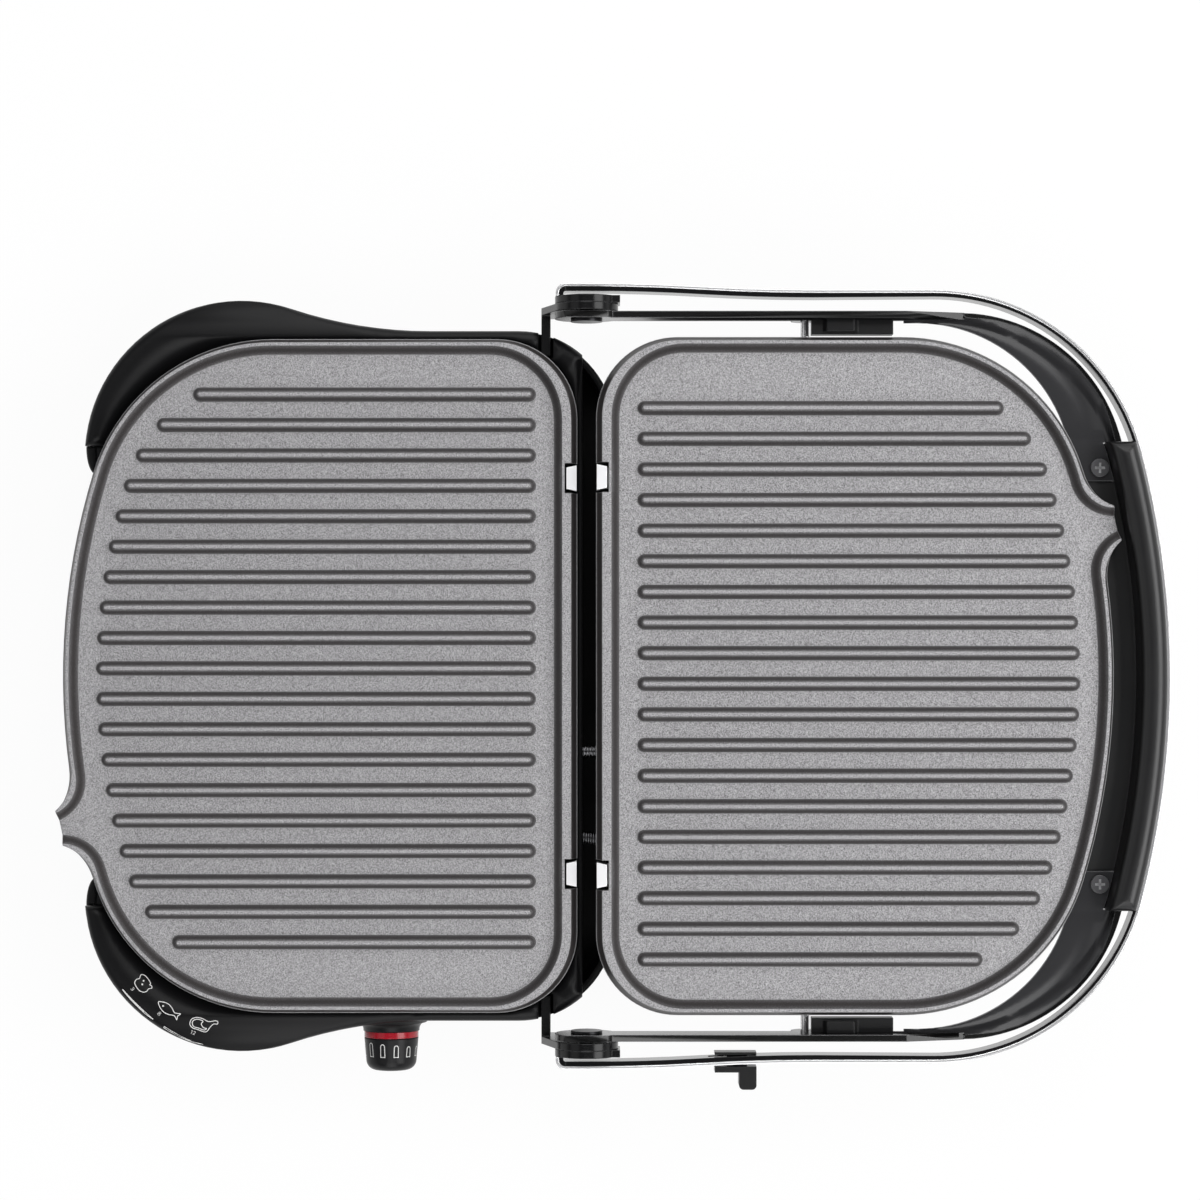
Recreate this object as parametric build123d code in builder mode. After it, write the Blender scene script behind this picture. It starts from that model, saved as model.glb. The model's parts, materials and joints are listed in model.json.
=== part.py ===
from build123d import *
import os
from math import asin, atan, cos, degrees, radians, sin, sqrt

# Flat-opening contact grill, lying open through a half turn.
# X runs to the appliance's right, Y from its front towards the opened lid, Z up.
# Everything is built about the hinge line, above the worktop, and is moved once, when it is
# written, so that the origin ends in the middle of the footprint.

os.makedirs("parts", exist_ok=True)

half_turn = 180
quarter_turn = 90
sides = (-1, 1)

# Heights above the worktop
hinge_height = 77.5
lower_rim_height = 72.0
closed_gap = 1.0
foot_height = 5.0

# General fits
overrun = 5.0
running_clearance = 0.05
seat_clearance = 0.6

# Grill plate casting
plate_half_width = 150.4
plate_rear = 4.2
plate_front = 233.9
plate_front_radius = 311.6
plate_corner_radius = 84.0
plate_rear_radius = 36.0
plate_depth = 10.0
lip_width = 0.3
lip_height = 3.0
rim_draft = 2.0
rim_rear_draft = 2.7
rim_width = 1.4
rim_rear_width = 4.0
rim_slope_width = 3.7
pocket_depth = 5.5
plate_floor_thickness = 3.3
plate_skirt_width = 7.0

# Ribs
rib_pitch = 13.57
rib_side_room = 24.0
rib_width = 6.5
rib_shoulder_width = 2.7
rib_crest_width = 1.2
rib_height = 4.0
rib_shoulder_height = 3.5
rib_margin = 15.0
rib_rear = 22.5
rib_shift_share = 0.25

# Pouring spout
spout_offset = 66.0
spout_root_half = 25.0
spout_tip_half = 7.9
spout_reach = 7.9
spout_throat_half = 21.0
spout_throat_tip = 7.0
spout_root_depth = 4.2

# Plate lugs and the notches that they stand in
lug_offset = 88.0
lug_width = 11.3
lug_tip_width = 9.4
lug_depth = 4.5
lug_setback = 0.3
lug_foot_thickness = 2.5
lug_foot_drop = 1.0
notch_width = 13.3
notch_depth = 2.9

# Pegs under each plate and the spring clips that grip them
peg_offset = 60.0
peg_y = 194.0
peg_diameter = 6.0
peg_length = 8.5
clip_clearance = 0.1
clip_width = 7.0
clip_foot_reach = 6.0
clip_thickness = 0.8
clip_height = 7.5

# Heating element and reflector
element_diameter = 6.5
element_gap = 0.4
element_bend_radius = 26.0
element_leg_radius = 6.0
element_bends = 8
element_half_width = 104.0
element_rear = 40.0
element_front = 168.0
element_dip_half = 36.0
element_dip_y = 88.0
element_terminal_offset = 40.0
element_leg_length = 16.0
reflector_half_width = 126.0
reflector_rear = 26.0
reflector_front = 186.0
reflector_front_radius = 270.0
reflector_corner_radius = 62.0
reflector_rear_radius = 14.0
reflector_thickness = 1.0
reflector_depth = 9.0
reflector_clearance = 1.0
reflector_hole_clearance = 0.4

# Base housing
waist_wall = 3.5
pod_bulge = 13.6
pod_radius = 70.3
pod_centre_y = -154.6
pod_sweep = 18.3
base_rear = 12.6
base_rear_radius = 43.0
base_front_recess = -211.0
shoulder_height = 64.0
shoulder_setback = 2.5
shoulder_drop = 4.0
rear_deck_height = 47.0
rear_wall_thickness = 1.6
rear_wall_height = 62.6
base_wall = 3.0
base_deck_thickness = 3.0
base_edge_radius = 4.0
bracket_slot_clearance = 1.4
bracket_slot_depth = 6.0
well_ledge = 8.9
well_rear = 12.3
well_front_ledge = 27.9
well_flattening = 21.6
well_corner_radius = 72.0
well_rear_radius = 18.0
bottom_cover_thickness = 2.5

# Front panel
front_panel_half_width = 103.0
front_panel_edge_reach = 10.0
front_panel_middle_reach = 5.0
front_panel_bottom = 11.0
front_panel_top = 59.0
front_panel_edge_radius = 2.0

# Base feet and screws
base_foot_diameter = 18.0
base_foot_x = 118.0
base_foot_rear_y = -24.0
base_foot_front_y = -178.0
foot_edge_radius = 1.5
screw_diameter = 4.0
screw_head_diameter = 8.0
screw_head_height = 2.0
screw_recess_length = 4.4
screw_recess_width = 1.0
screw_recess_depth = 1.2
screw_length = 12.0
base_screw_x = 100.0
base_screw_rear_y = -16.0
base_screw_front_y = -196.0
screw_post_diameter = 11.0

# Thermostat, ring and knob
knob_y = -88.6
knob_height = 42.0
knob_boss_rise = 6.1
knob_boss_diameter = 31.0
knob_ring_width = 2.8
knob_ring_diameter = 24.5
knob_gap = 0.3
knob_length = 14.7
knob_tip_diameter = 22.0
knob_edge_radius = 4.5
knob_bore_depth = 9.0
knob_ring_bore = 8.0
shaft_diameter = 6.0
shaft_seat_length = 28.0
thermostat_length = 24.0
thermostat_width = 30.0
thermostat_tall = 11.0
thermostat_bush_diameter = 12.0

# Cord outlet
outlet_y = -52.0
outlet_height = 22.0
outlet_bore = 7.0
outlet_neck_diameter = 11.0
outlet_flange_diameter = 15.0
outlet_flange_thickness = 1.5

# Hinge
hinge_disc_radius = 14.0
hinge_disc_thickness = 3.2
bracket_gap = 0.4
bracket_leg_front = 20.3
bracket_leg_thickness = 4.0
bracket_leg_bottom = 44.0
bracket_leg_top = 61.0
bracket_leg_depth = 11.0
bracket_upright_width = 9.0
disc_gap = 0.1
disc_lug_reach = 14.8
disc_lug_height = 17.0
rivet_diameter = 6.0
rivet_head_diameter = 6.7
rivet_head_height = 0.8
rivet_ring_diameter = 14.0
rivet_ring_height = 1.2

# Arms
arm_side_gap = 7.6
arm_thickness = 3.0
arm_height = 16.0
arm_end_radius = 14.0
arm_corner_radius = 74.0
arm_front_gap = 17.8
arm_front_radius = 379.2
arm_web_setback = 4.0
arm_web_corner_radius = 69.0
arm_web_depth = 21.9
arm_web_thickness = 2.0
arm_crease_growth = 19.0
arm_tab_start = 96.4
arm_tab_setback = 2.0
arm_flange_height = 7.0
arm_tip_offset = 86.7
arm_straight_end = 141.0
arm_slope_end = 168.0
arm_tip_gap = 0.3
pin_lobe_radius = 6.5

# Lid axle pins and tilt stops
pin_y = 97.5
pin_height = 66.5
pin_diameter = 4.5
pin_depth = 6.5
pin_head_diameter = 7.5
pin_head_height = 1.2
stop_rear = 99.7
stop_front = 135.8
stop_height = 8.0
stop_width = 6.6
stop_boss_rear = 104.6
stop_boss_front = 120.1
stop_boss_rise = 3.0
stop_boss_angle = 60
stop_boss_width = 5.4

# Handle band, liner and grip
band_standoff = 5.5
band_draw_in = 2.9
band_draw_end = 100.0
band_thickness = 1.4
band_front_gap = 6.0
band_flattening = 14.5
band_corner_radius = 95.0
band_height = 14.0
band_turn_start = 9.2
band_turn_radius = 4.4
liner_thickness = 2.0
liner_height = 12.0
grip_end = 103.5
grip_width = 11.5
grip_height = 24.0
grip_edge_radius = 5.2
grip_web_overlap = 2.0
grip_web_bottom = 66.5
grip_boss_diameter = 10.0
grip_boss_height = 5.0
grip_screw_length = 7.0
grip_screw_x = 92.5
grip_screw_y = 228.0

# Lock slide on the right of the band
slide_rear = 56.6
slide_thumb_rear = 67.3
slide_front = 75.0
slide_projection = 10.2
slide_gap = 0.2
slide_finger_thickness = 2.6
slide_height = 12.0
slide_stem_rear = 62.0
slide_stem_front = 71.0
slide_stem_height = 4.0
slide_keeper_thickness = 1.2
slide_keeper_height = 9.0
slide_travel = 8.0
slide_edge_radius = 2.0

# Lid cover, frame and feet
cover_setback = 4.9
cover_rear = 14.0
cover_front_setback = 9.9
cover_flattening = 2.6
cover_corner_radius = 84.0
cover_rear_radius = 26.0
cover_floor_height = 6.0
cover_wall = 3.0
cover_skirt_height = 24.0
cover_draft = 7.0
cover_edge_radius = 14.0
frame_thickness = 3.0
lid_bracket_width = 24.0
lid_bracket_thickness = 1.5
lid_bracket_height = 9.5
lid_foot_diameter = 16.0
lid_foot_x = 88.0
lid_foot_rear_y = 56.0
lid_foot_front_y = 176.0
lid_screw_x = 133.0
lid_screw_rear_y = 46.0
lid_screw_front_y = 146.0

# Spring-sleeved conduits between base and lid
conduit_diameter = 6.3
conduit_height = 58.0
conduit_rear = -8.0
conduit_end_setback = 0.8
conduit_places = ((33.8, 33.8), (70.5, 75.3))

# Sizes that follow from the ones above
waist_half_width = plate_half_width + seat_clearance + waist_wall
pod_half_width = waist_half_width + pod_bulge
shoulder_half_width = waist_half_width - shoulder_setback
well_half_width = plate_half_width - well_ledge
well_front = plate_front - well_front_ledge
well_front_radius = plate_front_radius - well_flattening
front_panel_edge_y = base_front_recess - front_panel_edge_reach
front_panel_middle_y = base_front_recess - front_panel_middle_reach
cover_half_width = plate_half_width - cover_setback
cover_front = plate_front - cover_front_setback
cover_front_radius = plate_front_radius - cover_flattening
arm_inner = plate_half_width + arm_side_gap
arm_half_width = arm_inner + arm_thickness
arm_front = plate_front + arm_front_gap
arm_web_half_width = arm_half_width - arm_web_setback
arm_web_front = arm_front - arm_web_depth
arm_web_front_radius = arm_front_radius - arm_web_depth
bracket_inner = arm_half_width + bracket_gap
bracket_leg_inner = waist_half_width - bracket_leg_depth
outer_disc_inner = bracket_inner + hinge_disc_thickness + disc_gap
pin_inner = cover_half_width - pin_depth
stop_inner = arm_inner - stop_width
stop_boss_inner = arm_inner - stop_boss_width
band_front = arm_front + band_front_gap
band_front_radius = arm_front_radius + band_flattening
upper_rim_height = 2 * hinge_height - lower_rim_height - closed_gap
unit_drop = upper_rim_height - lower_rim_height
flange_height = upper_rim_height - plate_depth
plate_floor_height = upper_rim_height - pocket_depth
floor_underside = plate_floor_height - plate_floor_thickness
element_height = floor_underside - element_gap - element_diameter / 2
reflector_top = flange_height - reflector_clearance
frame_top = reflector_top - reflector_depth
deck_top = frame_top - unit_drop
lug_foot_end = cover_rear + cover_wall
arm_bottom = hinge_height - arm_height / 2
arm_web_top = arm_bottom + arm_web_thickness
band_bottom = hinge_height - band_height / 2
liner_bottom = hinge_height - liner_height / 2
grip_bottom = hinge_height - grip_height / 2
rim_inset = rim_draft + rim_width
rim_rear_inset = rim_rear_draft + rim_rear_width
floor_inset = rim_inset + rim_slope_width
floor_rear_inset = rim_rear_inset + rim_slope_width
rib_count = 2 * int((plate_half_width - rib_side_room) / rib_pitch) + 1
spout_angle = degrees(asin(spout_offset / plate_front_radius))
spout_tip = plate_front + spout_reach
spout_side = (plate_front_radius + spout_reach) * cos(radians(spout_angle))
spout_swing = spout_tip_half * sin(radians(spout_angle))
footprint_front = plate_front - plate_front_radius + spout_side + spout_swing
knob_boss_reach = waist_half_width + knob_boss_rise
disc_outer = outer_disc_inner + hinge_disc_thickness
band_half_width = disc_outer + band_standoff
band_waist = band_half_width - band_draw_in
slide_outer_share = 2 * ((slide_rear - slide_travel) / band_draw_end) ** 2
slide_inner_share = 2 * ((band_draw_end - slide_front) / band_draw_end) ** 2
slide_face = band_half_width - band_draw_in * slide_outer_share + slide_gap
keeper_outer = band_waist + band_draw_in * slide_inner_share
keeper_face = keeper_outer - band_thickness - liner_thickness - slide_gap
slide_reach = slide_face + slide_projection
footprint_x = (slide_reach - band_half_width) / 2
footprint_y = (band_front - footprint_front) / 2
to_footprint = Location((-footprint_x, -footprint_y, 0))


def write(piece, name):
    solid = piece.part.moved(to_footprint)
    solid.label = name
    export_step(solid, f"parts/{name}.step")


# The lid side is built first. The base's copy of it is turned half a turn and dropped.
def base_copy(piece):
    return piece.part.rotate(Axis.Z, half_turn).moved(Location((0, 0, -unit_drop)))


# An outline that is square to the hinge and bowed at the far end
def bow_outline(
    half_width, rear, front, front_radius, corner_radius, rear_radius=0, spread=0, spread_end=0
):
    centre_y = front - front_radius
    corner_x = half_width - corner_radius
    corner_y = centre_y + sqrt((front_radius - corner_radius) ** 2 - corner_x**2)
    blend_ratio = front_radius / (front_radius - corner_radius)
    blend = (corner_x * blend_ratio, centre_y + (corner_y - centre_y) * blend_ratio)
    with BuildSketch() as outline:
        with BuildLine():
            bow = TangentArc((0, front), blend, tangent=(1, 0))
            corner = TangentArc(blend, (half_width, corner_y), tangent=bow % 1)
            if spread:
                side = Line(corner @ 1, (half_width, spread_end))
                middle = (half_width + spread / 2, spread_end / 2)
                leaving = TangentArc(side @ 1, middle, tangent=(0, -1))
                TangentArc(middle, (half_width + spread, 0), tangent=leaving % 1)
                Line((half_width + spread, 0), (half_width + spread, rear))
            else:
                Line(corner @ 1, (half_width, rear + rear_radius))
            if rear_radius:
                turned = (half_width - rear_radius, rear)
                TangentArc((half_width, rear + rear_radius), turned, tangent=(0, -1))
            Line((half_width + spread - rear_radius, rear), (0, rear))
            mirror(about=Plane.YZ)
        make_face()
    return outline.sketch


# The plate's own outline, drawn in by an even inset
def plate_outline(inset, rear_inset):
    return bow_outline(
        plate_half_width - inset,
        plate_rear + rear_inset,
        plate_front - inset,
        plate_front_radius - inset,
        plate_corner_radius - inset,
        plate_rear_radius - inset,
    )


# A spout that flares out of the bowed edge, drawn on the middle line and swung to its place
def spout_outline(inset, root_half, tip_half, reach):
    centre_y = plate_front - plate_front_radius
    radius = plate_front_radius - inset
    root_y = centre_y + sqrt(radius**2 - root_half**2)
    with BuildSketch() as spout:
        with BuildLine():
            flare = TangentArc(
                (root_half, root_y),
                (tip_half, spout_tip),
                tangent=(centre_y - root_y, root_half),
            )
            if reach:
                Line(flare @ 1, (tip_half, spout_tip + reach))
            Line((tip_half, spout_tip + reach), (0, spout_tip + reach))
            Line((0, root_y - spout_root_depth), (root_half, root_y - spout_root_depth))
            Line((root_half, root_y - spout_root_depth), (root_half, root_y))
            mirror(about=Plane.YZ)
        make_face()
    pivot = Axis((0, centre_y, 0), (0, 0, 1))
    return spout.sketch.rotate(pivot, spout_angle)


# How far a rib runs before it meets the drawn-in outline
def rib_front(x):
    radius = plate_front_radius - rib_margin
    corner = plate_corner_radius - rib_margin
    centre_y = plate_front - plate_front_radius
    corner_x = plate_half_width - plate_corner_radius
    corner_y = centre_y + sqrt((radius - corner) ** 2 - corner_x**2)
    if abs(x) < corner_x * radius / (radius - corner):
        return centre_y + sqrt(radius**2 - x**2)
    return corner_y + sqrt(corner**2 - (abs(x) - corner_x) ** 2)


# Round-ended slots for the ribs, drawn in evenly where they are narrower than at the floor
def rib_slots(width):
    drawn_in = (rib_width - width) / 2
    with BuildSketch() as slots:
        for index in range(rib_count):
            rib_x = rib_pitch * (index - (rib_count - 1) / 2 + rib_shift_share)
            rib_length = rib_front(rib_x) - rib_rear - 2 * drawn_in
            with Locations((rib_x, rib_rear + drawn_in + rib_length / 2)):
                SlotOverall(rib_length, width, rotation=quarter_turn)
    return slots.sketch


# Upper grill plate

with BuildPart() as upper_grill_plate:
    with BuildSketch(Plane.XY.offset(flange_height)):
        add(plate_outline(0, 0))
        add(spout_outline(0, spout_root_half, spout_tip_half, 0))
    extrude(amount=lip_height)
    with BuildSketch(Plane.XY.offset(flange_height + lip_height)):
        add(plate_outline(lip_width, lip_width))
        add(spout_outline(lip_width, spout_root_half, spout_tip_half, 0))
    with BuildSketch(Plane.XY.offset(upper_rim_height)):
        add(plate_outline(rim_draft, rim_rear_draft))
        add(spout_outline(rim_draft, spout_root_half, spout_tip_half, 0))
    loft(ruled=True)
    with BuildSketch(Plane.XY.offset(upper_rim_height)):
        add(plate_outline(rim_inset, rim_rear_inset))
        add(spout_outline(rim_inset, spout_throat_half, spout_throat_tip, overrun))
    with BuildSketch(Plane.XY.offset(plate_floor_height)):
        throat_floor_tip = spout_throat_tip - rim_slope_width
        add(plate_outline(floor_inset, floor_rear_inset))
        add(spout_outline(floor_inset, spout_throat_half, throat_floor_tip, overrun))
    loft(ruled=True, mode=Mode.SUBTRACT)
    with BuildSketch(Plane.XY.offset(flange_height)):
        add(plate_outline(plate_skirt_width, plate_skirt_width))
    extrude(amount=floor_underside - flange_height, mode=Mode.SUBTRACT)
    with BuildSketch(Plane.XY.offset(flange_height)):
        with Locations((-lug_offset, plate_rear), (lug_offset, plate_rear)):
            Rectangle(notch_width, 2 * (notch_depth + rim_rear_draft))
    extrude(amount=plate_depth, mode=Mode.SUBTRACT)
    with BuildSketch(Plane.XY.offset(plate_floor_height)):
        add(rib_slots(rib_width))
    rib_taper = degrees(atan((rib_width - rib_shoulder_width) / 2 / rib_shoulder_height))
    extrude(amount=rib_shoulder_height, taper=rib_taper)
    with BuildSketch(Plane.XY.offset(plate_floor_height + rib_shoulder_height)):
        add(rib_slots(rib_shoulder_width))
    crest_rise = rib_height - rib_shoulder_height
    crest_taper = degrees(atan((rib_shoulder_width - rib_crest_width) / 2 / crest_rise))
    extrude(amount=crest_rise, taper=crest_taper)
    with BuildSketch(Plane.XY.offset(floor_underside)):
        with Locations((-peg_offset, peg_y), (peg_offset, peg_y)):
            Circle(peg_diameter / 2)
    extrude(amount=-peg_length)
write(upper_grill_plate, "upper_grill_plate")

with BuildPart() as lower_grill_plate:
    add(base_copy(upper_grill_plate))
write(lower_grill_plate, "lower_grill_plate")

# Lugs, clips, reflector and heating element of the lid, and the base's copies of them

with BuildPart() as upper_plate_lugs:
    lug_foot_bottom = flange_height - lug_foot_drop - lug_foot_thickness
    lug_slope = degrees(atan(2 * lug_depth / (lug_width - lug_tip_width)))
    lug_start = plate_rear + lug_setback
    with BuildSketch(Plane.XY.offset(lug_foot_bottom)):
        with Locations((-lug_offset, lug_start), (lug_offset, lug_start)):
            Trapezoid(lug_width, lug_depth, lug_slope, align=(Align.CENTER, Align.MIN))
    extrude(amount=upper_rim_height - lug_foot_bottom)
    with BuildSketch(Plane.XY.offset(lug_foot_bottom)):
        with Locations((-lug_offset, lug_start), (lug_offset, lug_start)):
            Rectangle(lug_tip_width, lug_foot_end - lug_start, align=(Align.CENTER, Align.MIN))
    extrude(amount=lug_foot_thickness)
write(upper_plate_lugs, "upper_plate_lugs")

with BuildPart() as upper_plate_clips:
    grip_half = peg_diameter / 2 + clip_clearance
    clip_half = grip_half + clip_thickness
    for clip_x in (-peg_offset, peg_offset):
        with BuildSketch(Plane((clip_x, peg_y - clip_width / 2, frame_top), (1, 0, 0), (0, -1, 0))):
            with Locations((0, clip_thickness / 2)):
                Rectangle(2 * (clip_half + clip_foot_reach), clip_thickness)
            with Locations((0, clip_height / 2)):
                Rectangle(2 * clip_half, clip_height)
            with Locations((0, clip_thickness + clip_height / 2)):
                Rectangle(2 * grip_half, clip_height, mode=Mode.SUBTRACT)
        extrude(amount=-clip_width)
write(upper_plate_clips, "upper_plate_clips")


# The reflector's outline, drawn in by its wall for the hollow
def reflector_outline(inset):
    return bow_outline(
        reflector_half_width - inset,
        reflector_rear + inset,
        reflector_front - inset,
        reflector_front_radius - inset,
        reflector_corner_radius - inset,
        reflector_rear_radius - inset,
    )


terminal_places = [(side * element_terminal_offset, element_rear) for side in sides]

with BuildPart() as upper_heat_reflector:
    with BuildSketch(Plane.XY.offset(frame_top)):
        add(reflector_outline(0))
    extrude(amount=reflector_depth)
    with BuildSketch(Plane.XY.offset(frame_top + reflector_thickness)):
        add(reflector_outline(reflector_thickness))
    extrude(amount=reflector_depth, mode=Mode.SUBTRACT)
    with BuildSketch(Plane.XY.offset(frame_top)):
        with Locations(*terminal_places):
            Circle(element_diameter / 2 + reflector_hole_clearance)
    extrude(amount=reflector_thickness, mode=Mode.SUBTRACT)
write(upper_heat_reflector, "upper_heat_reflector")

with BuildPart() as upper_heating_element:
    right_half = (
        (element_terminal_offset, element_rear),
        (element_half_width, element_rear),
        (element_half_width, element_front),
        (element_dip_half, element_front),
        (element_dip_half, element_dip_y),
    )
    route = [(x, y, element_height) for x, y in right_half]
    route += [(-x, y, element_height) for x, y in reversed(right_half)]
    leg_end = element_height - element_leg_length
    with BuildLine() as element_path:
        FilletPolyline(
            (element_terminal_offset, element_rear, leg_end),
            *route,
            (-element_terminal_offset, element_rear, leg_end),
            radius=[element_leg_radius] + [element_bend_radius] * element_bends + [element_leg_radius],
        )
    with BuildSketch(Plane.XY.offset(leg_end)):
        with Locations((element_terminal_offset, element_rear)):
            Circle(element_diameter / 2)
    sweep(path=element_path.line)
write(upper_heating_element, "upper_heating_element")

with BuildPart() as lower_plate_lugs:
    add(base_copy(upper_plate_lugs))
write(lower_plate_lugs, "lower_plate_lugs")

with BuildPart() as lower_plate_clips:
    add(base_copy(upper_plate_clips))
write(lower_plate_clips, "lower_plate_clips")

with BuildPart() as lower_heat_reflector:
    add(base_copy(upper_heat_reflector))
write(lower_heat_reflector, "lower_heat_reflector")

with BuildPart() as lower_heating_element:
    add(base_copy(upper_heating_element))
write(lower_heating_element, "lower_heating_element")

# Hinge brackets: a leg out of the housing and an upright that rises to the pivot


def hinge_bracket(side):
    outer = bracket_inner + hinge_disc_thickness
    with BuildPart() as bracket:
        with BuildSketch(Plane.YZ.offset(side * bracket_leg_inner)):
            with Locations((-bracket_leg_front, bracket_leg_bottom)):
                Rectangle(
                    bracket_leg_thickness,
                    bracket_leg_top - bracket_leg_bottom,
                    align=(Align.MIN, Align.MIN),
                )
        extrude(amount=side * (outer - bracket_leg_inner))
        with BuildSketch(Plane.YZ.offset(side * bracket_inner)):
            with Locations((0, hinge_height)):
                Circle(hinge_disc_radius)
            with Locations((-bracket_leg_front, bracket_leg_bottom)):
                Rectangle(
                    bracket_upright_width,
                    bracket_leg_top - bracket_leg_bottom,
                    align=(Align.MIN, Align.MIN),
                )
            make_hull()
        extrude(amount=side * hinge_disc_thickness)
        with BuildSketch(Plane.YZ.offset(side * bracket_inner)):
            with Locations((0, hinge_height)):
                Circle(rivet_diameter / 2 + running_clearance)
        extrude(amount=side * hinge_disc_thickness, mode=Mode.SUBTRACT)
    return bracket.part


with BuildPart() as hinge_bracket_left:
    add(hinge_bracket(-1))
write(hinge_bracket_left, "hinge_bracket_left")

with BuildPart() as hinge_bracket_right:
    add(hinge_bracket(1))
write(hinge_bracket_right, "hinge_bracket_right")


# The housing's outline: round front pods that sweep in to a straight waist
def base_outline(inset):
    pod_centre_x = pod_half_width - pod_radius
    front_turn = degrees(asin((front_panel_half_width - pod_centre_x) / pod_radius))
    sweep_ratio = 1 - cos(radians(pod_sweep))
    pod_end_x = pod_centre_x + pod_radius * cos(radians(pod_sweep))
    pod_end_y = pod_centre_y + pod_radius * sin(radians(pod_sweep))
    waist_radius = (pod_end_x - waist_half_width) / sweep_ratio
    waist_y = pod_end_y + waist_radius * sin(radians(pod_sweep))
    with BuildSketch() as outline:
        with BuildLine():
            pod = CenterArc(
                (pod_centre_x, pod_centre_y),
                pod_radius - inset,
                front_turn - quarter_turn,
                quarter_turn - front_turn + pod_sweep,
            )
            waist = TangentArc(pod @ 1, (waist_half_width - inset, waist_y), tangent=pod % 1)
            side = Line(waist @ 1, (waist_half_width - inset, base_rear - base_rear_radius))
            turned = (waist_half_width - base_rear_radius, base_rear - inset)
            rear = TangentArc(side @ 1, turned, tangent=(0, 1))
            Line(rear @ 1, (0, base_rear - inset))
            parting = Line((0, base_front_recess + inset), ((pod @ 0).X, base_front_recess + inset))
            Line(parting @ 1, pod @ 0)
            mirror(about=Plane.YZ)
        make_face()
    return outline.sketch


def well_outline():
    outline = bow_outline(
        well_half_width,
        well_rear,
        well_front,
        well_front_radius,
        well_corner_radius,
        well_rear_radius,
    )
    return outline.rotate(Axis.Z, half_turn)


conduit_lines = []
for start_x, end_x in conduit_places:
    start = Vector(start_x, conduit_rear, conduit_height)
    end = Vector(end_x, cover_rear + cover_wall - conduit_end_setback, conduit_height)
    conduit_lines.append((start, end))


# A round bar along each conduit, for the conduits and for the holes that they pass
def conduit_bars(diameter):
    with BuildPart() as bars:
        for start, end in conduit_lines:
            with BuildSketch(Plane(origin=start, z_dir=end - start)):
                Circle(diameter / 2)
            extrude(amount=(end - start).length)
    return bars.part


# Base housing

cavity_top = deck_top - base_deck_thickness
screw_post_places = [
    (side * base_screw_x, y) for side in sides for y in (base_screw_rear_y, base_screw_front_y)
]

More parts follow.
